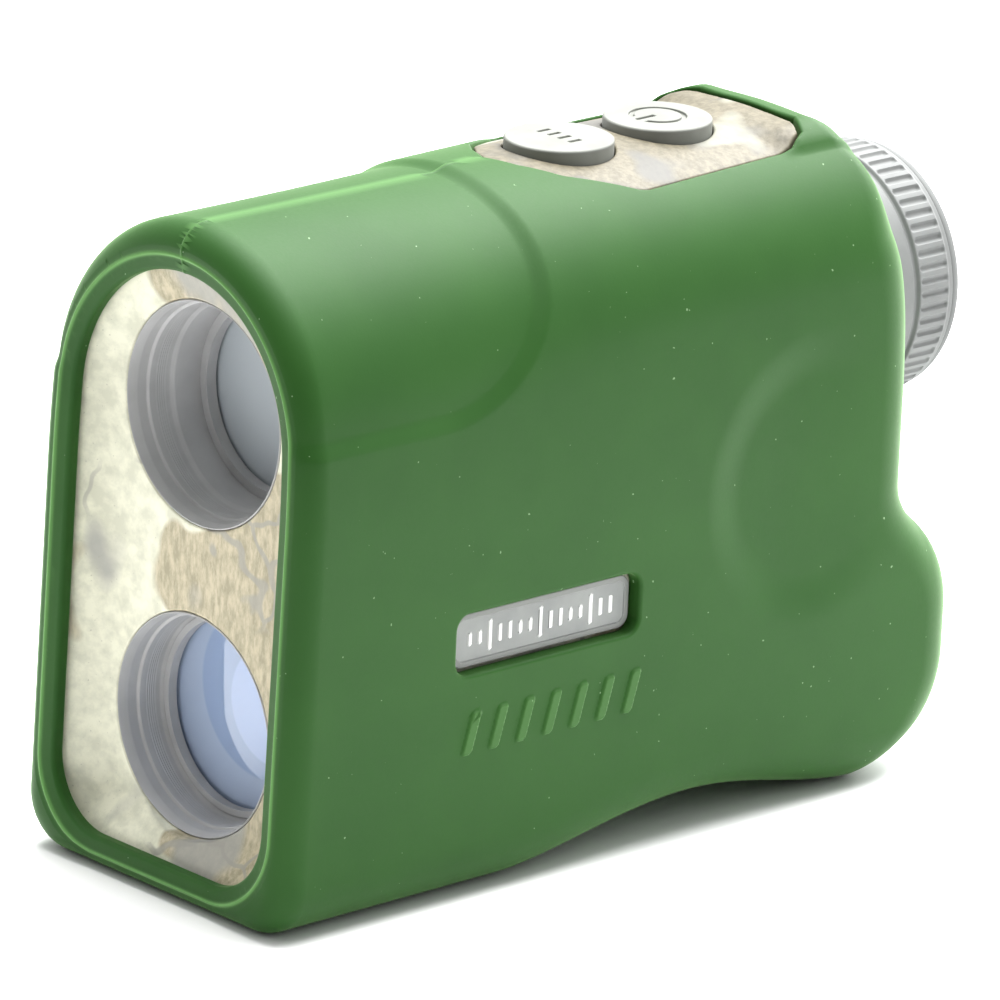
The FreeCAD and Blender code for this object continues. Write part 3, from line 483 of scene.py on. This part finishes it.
def split(points, normals, faces, field, bend, shortest, grain):
    """Splits the edges along which the surface bends by more than bend, or that are longer than grain."""
    pairs = np.sort(faces[:, [[0, 1], [1, 2], [2, 0]]].reshape(-1, 2), axis=1)
    edges, index = np.unique(pairs, axis=0, return_inverse=True)
    index = index.reshape(-1, 3)
    a, b = edges.T
    cosine = (normals[a] * normals[b]).sum(1)
    length = np.linalg.norm(points[a] - points[b], axis=1)
    marked = (cosine < math.cos(bend)) & (length > shortest)
    if grain is not None:
        marked |= length > grain(*((points[a] + points[b]) / 2).T)
    middle = (points[a] + points[b])[marked] / 2
    new_id = np.full(len(edges), -1)
    new_id[marked] = len(points) + np.arange(marked.sum())
    middle, middle_normals = settle(field, middle, 3)
    points, normals = np.concatenate([points, middle]), np.concatenate([normals, middle_normals])
    mid = new_id[index]
    number = (mid >= 0).sum(1)
    out = [faces[number == 0]]
    f, m = faces[number == 3], mid[number == 3]
    out += [np.stack(c, 1) for c in ((f[:, 0], m[:, 0], m[:, 2]), (m[:, 0], f[:, 1], m[:, 1]),
                                     (m[:, 2], m[:, 1], f[:, 2]), (m[:, 0], m[:, 1], m[:, 2]))]
    for turn in range(3):
        order = [turn, (turn + 1) % 3, (turn + 2) % 3]
        f, m = faces[:, order], mid[:, order]
        one = (number == 1) & (m[:, 0] >= 0)
        p, q = f[one], m[one]
        out += [np.stack((p[:, 0], q[:, 0], p[:, 2]), 1), np.stack((q[:, 0], p[:, 1], p[:, 2]), 1)]
        two = (number == 2) & (m[:, 2] < 0)
        p, q = f[two], m[two]
        out += [np.stack((q[:, 0], p[:, 1], q[:, 1]), 1), np.stack((p[:, 0], q[:, 0], q[:, 1]), 1),
                np.stack((p[:, 0], q[:, 1], p[:, 2]), 1)]
    return points, normals, np.concatenate(out)


def mesh_object(name, points, faces, normals=None):
    mesh = bpy.data.meshes.new(name)
    mesh.from_pydata((np.asarray(points) * MM).tolist(), [], np.asarray(faces).tolist())
    mesh.shade_smooth()
    if normals is not None:
        mesh.normals_split_custom_set_from_vertices(normals.tolist())
    piece = bpy.data.objects.new(name, mesh)
    bpy.context.scene.collection.objects.link(piece)
    return piece


def field_object(name, field, axes, passes, bend_deg=9.0, shortest=0.12, grain=None, start=None):
    """Mesh of a field; start is a simpler field for the net where field has details finer than it."""
    points, faces = net(start or field, axes)
    points, normals = settle(field, points, 6)
    for _ in range(passes):
        points, normals, faces = split(points, normals, faces, field, math.radians(bend_deg), shortest, grain)
    print(name, len(points), "points,", len(faces), "faces")
    return mesh_object(name, points, faces, normals), points


def finish_piece(piece, body, node, slot, material=None):
    """Gives a piece its material, the body that it rides on and the node that it stands for."""
    piece.data.materials.append(material or MATERIALS[slot])
    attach(piece, body)
    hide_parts(node)


def point_value(piece, name, values):
    layer = piece.data.attributes.new(name, "FLOAT", "POINT")
    layer.data.foreach_set("value", np.clip(values, 0, 1).astype(np.float32))


def even_axes(lo, hi, step):
    return [graded(a, b, step, step, 0, 0) for a, b in zip(lo, hi)]


def make_sleeve():
    axes = [graded(lo, hi, 0.75, 1.5, *bands) for lo, hi, bands in
            zip(SLEEVE_LO, SLEEVE_HI, ((16, 16), (8, 22), (8, 20)))]
    passes = 3
    piece, points = field_object("sleeve_skin", sleeve_field, axes, passes, grain=sleeve_grain,
                                 start=plain_sleeve)
    x, y, z = points.T
    # Lighter green: the moulding ridge round the opening and the parting seam partly for their thinner rubber
    # and partly as a painted highlight, the raised bars as a painted highlight.
    near_rim = np.exp(-((opening(x, z) - FLASH_OUT) / 0.25) ** 2) * (y < rim_y(z) + 1.2)
    seam = np.exp(-(x / 0.12) ** 2) * (z > 60) * (y < -8.6) * (body_field(x, y, z, True) > -0.5)
    raised = smooth_step(0.5 - motif(y, z) / 0.3) * (np.abs(x) > 18)
    point_value(piece, "flash_and_painted_highlight", near_rim + 0.35 * seam + 0.2 * raised)
    finish_piece(piece, "housing", "silicone_sleeve", "green_silicone")


def make_housing():
    for side, node in ((1, "left_housing_shell"), (-1, "right_housing_shell")):
        lo, hi = box_mm(node)
        axes = [graded(a, b, 1.2, 2.4, *bands) for a, b, bands in zip(lo, hi, ((22, 22), (5, 22), (8, 22)))]
        piece, _ = field_object(node.replace("_shell", "_skin"), housing_field(side), axes, 1, 15.0, 0.4)
        finish_piece(piece, "housing", node, "housing_plastic")


def make_front():
    piece, _ = field_object("printed_face", bezel_field, even_axes(BEZEL_LO, BEZEL_HI, 0.9), 2, 10.0, 0.2)
    finish_piece(piece, "housing", "front_bezel", "camo_plastic")
    piece, _ = field_object("printed_deck", panel_field, even_axes(PANEL_LO, PANEL_HI, 0.6), 2, 10.0, 0.15)
    # the deck gets a darker copy of the camouflage print: painted shade, since it lies under the brightest
    # light
    finish_piece(piece, "housing", "button_panel", "camo_plastic", camo("camo_film_deck_painted_shade", DECK_SHADE))


def make_buttons():
    for node, body, place, mark in (("mode_button", "mode_button_body", MODE, mode_mark),
                                    ("power_button", "power_button_body", POWER, power_mark)):
        lo, hi = box_mm(node)
        piece, _ = field_object(node.replace("button", "key"), button_field(place[1], mark),
                                even_axes(lo, hi, 0.3), 2, 10.0, 0.08)
        finish_piece(piece, body, node, "key_rubber")


def make_badges():
    for side, node in ((1, "left_badge_plate"), (-1, "right_badge_plate")):
        lo, hi = box_mm(node)
        axes = [graded(a, b, step, step, 0, 0) for a, b, step in zip(lo, hi, (0.1, 0.25, 0.25))]
        piece, points = field_object(node.replace("badge", "name"), badge_field(side), axes, 1, 15.0, 0.1)
        x, y, z = points.T
        raised = side * x > BADGE_FACE - 0.09
        point_value(piece, "print", (badge_tick(y, z) < 0.06) * raised)
        border = round_rect(y - BADGE_MID[1], z - BADGE_MID[2], 12.5, 2.4, 1.0) > 0.05
        point_value(piece, "border", border * 1.0)
        finish_piece(piece, "housing", node, "badge_plate")


def make_cap():
    piece, _ = field_object("coin_cap", cap_field, even_axes(CAP_LO, CAP_HI, 0.4), 2, 12.0, 0.15)
    finish_piece(piece, "battery_cap_body", "battery_cap", "dark_plastic")
    piece, _ = field_object("fold_tab", tab_field, even_axes(TAB_LO, TAB_HI, 0.3), 1, 12.0, 0.15)
    finish_piece(piece, "cap_tab_body", "cap_tab", "dark_plastic")


# ---- turned pieces ----
def turned(name, profile, z, columns, relief=None):
    """Ring turned about the optical axis from a closed (radius, y) outline; relief lowers its skin."""
    radius, along = np.array(profile).T
    angle = np.linspace(0, 2 * math.pi, columns, endpoint=False)
    grid_r, grid_a = np.meshgrid(radius, angle)
    grid_y = np.tile(along, (columns, 1))
    if relief is not None:
        grid_r = grid_r - relief(grid_a, grid_y, grid_r)
    points = np.stack([grid_r * np.sin(grid_a), grid_y, z + grid_r * np.cos(grid_a)], -1).reshape(-1, 3)
    rows = len(profile)
    row, column = np.meshgrid(np.arange(rows), np.arange(columns))
    here = column * rows + row
    up = column * rows + (row + 1) % rows
    right = (column + 1) % columns * rows + row
    cross = (column + 1) % columns * rows + (row + 1) % rows
    quads = np.stack([here, right, cross, up], -1).reshape(-1, 4)
    piece = mesh_object(name, points, quads)
    piece.data.set_sharp_from_angle(angle=math.radians(32))
    return piece


def ring_relief(angle, y, radius):
    """Round-ended slots between the ribs of the focus ring."""
    share = 2 * math.pi / RIB_COUNT
    across = (np.mod(angle, share) - share / 2) * RING_R
    slot = round_rect(across, y - (RIB_START_Y + RIB_END_Y) / 2, 0.36, (RIB_END_Y - RIB_START_Y) / 2, 0.34)
    depth = RIB_DEPTH * smooth_step(0.5 - slot / 0.4)
    return np.where(radius > RING_R - 0.5, depth, 0.0)


def subdivide_outline(corners, longest):
    """Adds points to a closed outline so that no side is longer than longest."""
    outline = []
    for (ra, ya), (rb, yb) in zip(corners, corners[1:] + corners[:1]):
        count = max(1, int(math.ceil(math.hypot(rb - ra, yb - ya) / longest)))
        outline += [(ra + (rb - ra) * i / count, ya + (yb - ya) * i / count) for i in range(count)]
    return outline


def round_outline(corners, radius):
    """Replaces each corner of a closed outline with a small arc-like run of points."""
    outline = []
    for before, here, after in zip(corners[-1:] + corners[:-1], corners, corners[1:] + corners[:1]):
        a, b, c = (np.array(p, float) for p in (before, here, after))
        reach = min(radius, 0.45 * np.linalg.norm(a - b), 0.45 * np.linalg.norm(c - b))
        start = b + (a - b) / np.linalg.norm(a - b) * reach
        end = b + (c - b) / np.linalg.norm(c - b) * reach
        for t in (0, 0.25, 0.5, 0.75, 1):
            outline.append(tuple((1 - t) ** 2 * start + 2 * t * (1 - t) * b + t * t * end))
    return outline


def make_eyepiece():
    end = RING_HI[1]
    grip = [(12.08, 40.92), (14.38, 40.92), (14.38, 43.8), (14.78, 44.2), (14.78, 46.2), (14.55, 46.45),
            (14.55, 46.75), (RING_R, 47.0), (RING_R, 51.55), (14.8, 51.75), (14.8, end), (10.22, end),
            (10.22, 50.7), (12.08, 50.7)]
    grip = subdivide_outline(round_outline(grip, 0.15), 0.16)
    piece = turned("focus_ring", grip, VIEW_Z, RIB_COUNT * 12, ring_relief)
    finish_piece(piece, "focus_ring_body", "diopter_ring", "grey_plastic")
    cup = [(10.22, end), (14.68, end), (14.68, 53.1), (14.4, 53.7), (13.7, EYE_END_Y), (12.4, EYE_END_Y),
           (11.0, 53.5)]
    piece = turned("soft_cup", round_outline(cup, 0.4), VIEW_Z, 180)
    finish_piece(piece, "focus_ring_body", "eyecup", "eyecup_rubber")


def make_barrels():
    """Lens barrels: stepped mouth with a chamfer, fine thread and the seat behind the glass."""
    for node, z, seat in (("objective_barrel", VIEW_Z, -33.4), ("receiver_barrel", RECEIVER_Z, -36.6)):
        lo, hi = box_mm(node)
        back, shoulder = hi[1], BEZEL_HI[1]
        steps = [(MOUTH_R, lo[1] + 1.2), (NOSE_R - 0.15, lo[1]), (NOSE_R, lo[1] + 0.1), (NOSE_R, shoulder),
                 (13.58, shoulder), (13.58, back), (10.4, back), (10.4, seat), (SEAT_R, seat),
                 (SEAT_R, lo[1] + 6.0), (THREAD_R, lo[1] + 5.5)]
        start, end, pitch = lo[1] + 4.9, lo[1] + 3.4, 0.3
        turns = int((start - end) / pitch)
        for i in range(turns):
            y = start - i * pitch
            steps += [(THREAD_R, y), (THREAD_R + 0.05, y - pitch / 2)]
        steps += [(THREAD_R, lo[1] + 2.6), (MOUTH_R, lo[1] + 2.45)]
        piece = turned(node.replace("_barrel", "_tube"), round_outline(steps, 0.12), z, 180)
        finish_piece(piece, "housing", node, "anodised_metal")


# ---- materials ----
def srgb(r, g, b):
    return tuple((c / 12.92 if c <= 0.04045 else ((c + 0.055) / 1.055) ** 2.4)
                 for c in (r / 255, g / 255, b / 255)) + (1.0,)


class Shader:
    """Small helper for building a node material."""

    def __init__(self, name, **values):
        self.material = bpy.data.materials.new(name)
        self.material.use_nodes = True
        self.tree = self.material.node_tree
        self.bsdf = self.tree.nodes["Principled BSDF"]
        for key, value in values.items():
            self.bsdf.inputs[key.replace("_", " ")].default_value = value
        self.place = self.tree.nodes.new("ShaderNodeTexCoord").outputs["Object"]

    def link(self, source, target):
        self.tree.links.new(source, target)
        return target

    def noise(self, scale, detail=3.0, rough=0.5, vector=None):
        node = self.tree.nodes.new("ShaderNodeTexNoise")
        node.inputs["Scale"].default_value = scale
        node.inputs["Detail"].default_value = detail
        node.inputs["Roughness"].default_value = rough
        self.link(vector or self.place, node.inputs["Vector"])
        return node.outputs["Fac"]

    def stretch(self, x, y, z):
        node = self.tree.nodes.new("ShaderNodeMapping")
        node.inputs["Scale"].default_value = (x, y, z)
        self.link(self.place, node.inputs["Vector"])
        return node.outputs["Vector"]

    def ramp(self, source, *stops):
        node = self.tree.nodes.new("ShaderNodeValToRGB")
        ramp = node.color_ramp
        while len(ramp.elements) < len(stops):
            ramp.elements.new(0.5)
        for element, (position, colour) in zip(ramp.elements, stops):
            element.position = position
            element.color = colour if len(colour) == 4 else tuple(colour) + (1.0,)
        self.link(source, node.inputs["Fac"])
        return node.outputs["Color"]

    def mix(self, amount, a, b):
        node = self.tree.nodes.new("ShaderNodeMix")
        node.data_type = "RGBA"
        for value, socket in ((amount, node.inputs[0]), (a, node.inputs[6]), (b, node.inputs[7])):
            if isinstance(value, bpy.types.NodeSocket):
                self.link(value, socket)
            else:
                socket.default_value = value
        return node.outputs[2]

    def cracks(self, scale, wander):
        """Distance to the nearest border of a network of cells, with wandering borders."""
        warp = self.tree.nodes.new("ShaderNodeTexNoise")
        warp.inputs["Scale"].default_value = scale * 2
        self.link(self.place, warp.inputs["Vector"])
        blend = self.tree.nodes.new("ShaderNodeMix")
        blend.data_type = "VECTOR"
        blend.inputs[0].default_value = wander * 0.04
        self.link(self.place, blend.inputs[4])
        self.link(warp.outputs["Color"], blend.inputs[5])
        node = self.tree.nodes.new("ShaderNodeTexVoronoi")
        node.feature = "DISTANCE_TO_EDGE"
        node.inputs["Scale"].default_value = scale
        self.link(blend.outputs[1], node.inputs["Vector"])
        return node.outputs["Distance"]

    def vector_math(self, operation, a, b):
        node = self.tree.nodes.new("ShaderNodeVectorMath")
        node.operation = operation
        self.link(a, node.inputs[0])
        node.inputs[1].default_value = b
        return node.outputs["Value" if operation == "DOT_PRODUCT" else "Vector"]

    def distance(self, centre, axes):
        """Distance from centre, counted along the chosen axes only."""
        offset = self.vector_math("SUBTRACT", self.place, centre)
        node = self.tree.nodes.new("ShaderNodeVectorMath")
        node.operation = "LENGTH"
        self.link(self.vector_math("MULTIPLY", offset, axes), node.inputs[0])
        return node.outputs["Value"]

    def product(self, a, b):
        node = self.tree.nodes.new("ShaderNodeMath")
        node.operation = "MULTIPLY"
        self.link(a, node.inputs[0])
        self.link(b, node.inputs[1])
        return node.outputs["Value"]

    def scaled(self, source, factor):
        node = self.tree.nodes.new("ShaderNodeMath")
        node.operation = "MULTIPLY"
        self.link(source, node.inputs[0])
        node.inputs[1].default_value = factor
        return node.outputs["Value"]

    def bump(self, source, strength, distance):
        node = self.tree.nodes.new("ShaderNodeBump")
        node.inputs["Strength"].default_value = strength
        node.inputs["Distance"].default_value = distance * MM
        self.link(source, node.inputs["Height"])
        previous = self.bsdf.inputs["Normal"].links
        if previous:
            self.link(previous[0].from_socket, node.inputs["Normal"])
        self.link(node.outputs["Normal"], self.bsdf.inputs["Normal"])

    def attribute(self, name):
        node = self.tree.nodes.new("ShaderNodeAttribute")
        node.attribute_name = name
        return node.outputs["Fac"]

    def colour(self, source):
        self.link(source, self.bsdf.inputs["Base Color"])

    def rough(self, source, low, high):
        node = self.tree.nodes.new("ShaderNodeMapRange")
        node.inputs["To Min"].default_value = low
        node.inputs["To Max"].default_value = high
        self.link(source, node.inputs["Value"])
        self.link(node.outputs["Result"], self.bsdf.inputs["Roughness"])


def silicone():
    s = Shader("silicone", Specular_IOR_Level=0.19, Sheen_Weight=0.4, Sheen_Roughness=0.3,
               Sheen_Tint=(0.62, 1.0, 0.48, 1.0))
    base = s.ramp(s.noise(70, 3), (0.3, srgb(35, 77, 24)), (0.7, srgb(40, 83, 28)))
    lint = s.ramp(s.noise(1500, 1), (0.79, (0, 0, 0)), (0.815, (1, 1, 1)))
    base = s.mix(lint, base, srgb(120, 150, 110))
    # lighter green on the moulding ridge and the seam, partly thinner rubber and partly painted highlight,
    # and on the raised bars as painted highlight
    s.colour(s.mix(s.attribute("flash_and_painted_highlight"), base, srgb(105, 155, 88)))
    s.rough(s.noise(2200, 2), 0.5, 0.62)
    s.bump(s.noise(3500, 2), 0.2, 0.03)
    s.bump(s.noise(60, 2), 0.1, 0.08)
    return s.material


def camo(name, shade):
    """Printed camouflage film: cream ground, tan bark with grain, soft grey leaves and thin twigs."""
    s = Shader(name, Roughness=0.5, Specular_IOR_Level=0.3)
    ground = s.ramp(s.noise(420, 6, 0.6), (0.38, srgb(210, 210, 189)), (0.6, srgb(234, 233, 211)))
    grain = s.noise(1100, 4, 0.7, s.stretch(1.0, 1.0, 0.35))
    bark = s.ramp(grain, (0.38, srgb(162, 154, 128)), (0.62, srgb(200, 190, 162)))
    patch = s.ramp(s.noise(46, 2, 0.45), (0.50, (0, 0, 0)), (0.515, (1, 1, 1)))
    colour = s.mix(patch, ground, bark)
    leaf = s.ramp(s.noise(60, 2, 0.5, s.stretch(1.3, 1.3, 0.8)), (0.55, (0, 0, 0)), (0.62, (0.8, 0.8, 0.8)))
    colour = s.mix(leaf, colour, srgb(162, 162, 157))
    shown = s.ramp(s.noise(38, 1), (0.5, (0, 0, 0)), (0.54, (0.75, 0.75, 0.75)))
    twig = s.ramp(s.cracks(60, 0.2), (0.012, (1, 1, 1)), (0.022, (0, 0, 0)))
    colour = s.mix(s.product(twig, shown), colour, srgb(158, 156, 148))
    specks = s.ramp(s.noise(2600, 2), (0.70, (0, 0, 0)), (0.76, (0.6, 0.6, 0.6)))
    colour = s.mix(specks, colour, srgb(170, 168, 150))
    # painted shade: the whole print is multiplied by the given factor, 1.0 leaving it unshaded
    s.colour(s.vector_math("MULTIPLY", colour, (shade, shade, shade)))
    s.bump(s.noise(800, 2), 0.08, 0.05)
    return s.material


def receiver_glass():
    """Laser glass with the faint round reflections of the surfaces behind it."""
    s = Shader("blue_glass", Roughness=0.05, Specular_IOR_Level=0.5, Coat_Weight=0.5, Coat_Roughness=0.02)
    colour = s.ramp(s.noise(60, 2), (0.3, srgb(164, 180, 206)), (0.7, srgb(172, 187, 212)))
    for x, z, radius, tone in ((3.0, 3.0, 9.8, srgb(148, 168, 202)), (5.0, 2.0, 6.8, srgb(164, 184, 222))):
        reach = s.distance((x * MM, 0, (RECEIVER_Z + z) * MM), (1, 0, 1))
        inside = s.ramp(s.scaled(reach, 1 / (2 * radius * MM)), (0.49, (1, 1, 1)), (0.51, (0, 0, 0)))
        colour = s.mix(inside, colour, tone)
    s.colour(colour)
    return s.material


def badge():
    s = Shader("badge_plate", Roughness=0.4, Specular_IOR_Level=0.4)
    base = s.ramp(s.noise(300, 3), (0.35, srgb(130, 133, 131)), (0.65, srgb(140, 143, 140)))
    base = s.mix(s.attribute("border"), base, srgb(122, 124, 121))
    s.colour(s.mix(s.attribute("print"), base, srgb(240, 240, 238)))
    s.bump(s.noise(1500, 2), 0.1, 0.03)
    return s.material


def plastic(name, dark, light, roughness=0.5, grain=1200):
    s = Shader(name, Roughness=roughness, Specular_IOR_Level=0.35)
    s.colour(s.ramp(s.noise(200, 3), (0.35, dark), (0.65, light)))
    s.rough(s.noise(500, 2), roughness - 0.06, roughness + 0.06)
    s.bump(s.noise(grain, 2), 0.15, 0.04)
    return s.material


def glass(name, colour, tint, roughness=0.03):
    s = Shader(name, Roughness=roughness, Specular_IOR_Level=0.6, Coat_Weight=0.6)
    s.colour(s.ramp(s.noise(40, 1), (0.4, colour), (0.6, tint)))
    return s.material


def metal(name, colour, roughness=0.35):
    s = Shader(name, Metallic=1.0, Roughness=roughness)
    bright = tuple(min(1, c * 1.15) for c in colour[:3])
    s.colour(s.ramp(s.noise(400, 3), (0.3, colour), (0.7, bright)))
    s.rough(s.noise(900, 2), roughness - 0.08, roughness + 0.08)
    return s.material


MATERIALS = {
    "green_silicone": silicone(),
    "camo_plastic": camo("camo_film", 1.0),
    "grey_plastic": plastic("grey_plastic", srgb(120, 122, 121), srgb(128, 130, 129), 0.65),
    "dark_plastic": plastic("dark_plastic", srgb(120, 120, 121), srgb(135, 135, 136), 0.6),
    "key_rubber": plastic("key_rubber", srgb(122, 124, 118), srgb(132, 134, 128), 0.65),
    "eyecup_rubber": plastic("eyecup_rubber", srgb(112, 114, 113), srgb(120, 122, 121), 0.8),
    "seal_rubber": plastic("seal_rubber", srgb(60, 60, 60), srgb(70, 70, 70), 0.6),
    "coated_glass": glass("coated_glass", srgb(184, 192, 197), srgb(190, 198, 203)),
    "blue_glass": receiver_glass(),
    "prism_glass": glass("prism_glass", srgb(190, 200, 205), srgb(205, 212, 216)),
    "anodised_metal": plastic("barrel_black", srgb(176, 176, 176), srgb(186, 186, 186), 0.45),
    "steel": metal("steel", srgb(190, 190, 192)),
    "tinned_steel": metal("tinned_steel", srgb(205, 205, 200)),
    "brass": metal("brass", srgb(200, 170, 100)),
    "circuit_board": plastic("circuit_board", srgb(20, 92, 48), srgb(28, 108, 58), 0.35),
    "chip_plastic": plastic("chip_plastic", srgb(38, 38, 40), srgb(52, 52, 54), 0.5),
    "polyimide": plastic("polyimide", srgb(190, 120, 40), srgb(205, 135, 52), 0.3),
    "battery_wrap": plastic("battery_wrap", srgb(60, 84, 120), srgb(72, 96, 134), 0.3),
    "badge_plate": badge(),
}
MATERIALS["housing_plastic"] = MATERIALS["camo_plastic"]


def dress_frame():
    for part in frame["record"]["subparts"]:
        node = NODES[part["node"]]
        node.data.materials.clear()
        node.data.materials.append(MATERIALS[part["material_slot"]])


# ---- stage ----
def make_stage():
    mesh = bpy.data.meshes.new("floor")
    reach = 6.0
    mesh.from_pydata([(-reach, -reach, 0), (reach, -reach, 0), (reach, reach, 0), (-reach, reach, 0)],
                     [], [(0, 1, 2, 3)])
    floor = bpy.data.objects.new("floor", mesh)
    bpy.context.scene.collection.objects.link(floor)
    s = Shader("floor_paper", Roughness=0.9, Specular_IOR_Level=0.1)
    paper = s.ramp(s.noise(30, 2), (0.3, (0.93, 0.93, 0.93)), (0.7, (0.95, 0.95, 0.95)))
    # painted shade: the paper turns grey towards the camera, so that less light bounces onto the near faces
    # of the object
    nearness = s.vector_math("DOT_PRODUCT", s.place, (0.73, -0.68, 0))
    shade = s.ramp(s.scaled(nearness, 2.0), (0.17, (0, 0, 0)), (0.5, (1, 1, 1)))
    s.colour(s.mix(shade, paper, (0.36, 0.36, 0.36, 1)))
    floor.data.materials.append(s.material)


def area_light(name, place, target, size, power):
    light = bpy.data.lights.new(name, "AREA")
    light.shape = "RECTANGLE"
    light.size, light.size_y = size
    light.energy = power
    lamp = bpy.data.objects.new(name, light)
    lamp.location = place
    lamp.rotation_euler = (Vector(target) - Vector(place)).to_track_quat("-Z", "Y").to_euler()
    bpy.context.scene.collection.objects.link(lamp)


def make_lights():
    """Bright studio behind and above the object, dimmer on the near side."""
    world = bpy.data.worlds.new("studio")
    bpy.context.scene.world = world
    world.use_nodes = True
    tree = world.node_tree
    place = tree.nodes.new("ShaderNodeTexCoord").outputs["Generated"]
    lean = tree.nodes.new("ShaderNodeVectorMath")
    lean.operation = "DOT_PRODUCT"
    lean.inputs[1].default_value = Vector((-0.45, 0.6, 0.66)).normalized()
    strength = tree.nodes.new("ShaderNodeMapRange")
    for name, value in (("From Min", -0.5), ("From Max", 0.6), ("To Min", 0.04), ("To Max", 1.2)):
        strength.inputs[name].default_value = value
    tree.links.new(place, lean.inputs[0])
    tree.links.new(lean.outputs["Value"], strength.inputs["Value"])
    tree.links.new(strength.outputs["Result"], tree.nodes["Background"].inputs["Strength"])
    tree.nodes["Background"].inputs["Color"].default_value = (1, 1, 1, 1)
    middle = (0, 0, 0.04)
    area_light("top_soft", (-0.1, 0.25, 0.9), middle, (0.9, 0.9), 27.0)
    area_light("rear_soft", (-0.2, 0.9, 0.6), middle, (0.6, 0.6), 14.0)
    bpy.context.scene.view_settings.view_transform = "Standard"


def make_camera():
    """Long lens from the front left of the device, slightly above it."""
    azimuth, elevation, roll = (math.radians(a) for a in (46.72, 17.96, 2.51))
    distance, focal, sensor = 1.061, 340.3, 36.0
    aim = Vector((-1.14, -2.16, 35.54)) * MM
    back = Vector((math.sin(azimuth) * math.cos(elevation), -math.cos(azimuth) * math.cos(elevation),
                   math.sin(elevation)))
    right = Vector((math.cos(azimuth), math.sin(azimuth), 0))
    up = back.cross(right)
    tilted = right * math.cos(roll) + up * math.sin(roll)
    upright = up * math.cos(roll) - right * math.sin(roll)
    data = bpy.data.cameras.new("camera")
    data.lens, data.sensor_width, data.clip_end = focal, sensor, 20
    camera = bpy.data.objects.new("camera", data)
    bpy.context.scene.collection.objects.link(camera)
    camera.matrix_world = Matrix.Translation(aim + back * distance) @ Matrix(
        (tilted, upright, back)).transposed().to_4x4()
    bpy.context.scene.camera = camera


make_camera()
make_lights()
make_stage()
dress_frame()
make_sleeve()
make_housing()
make_front()
make_buttons()
make_badges()
make_cap()
make_eyepiece()
make_barrels()
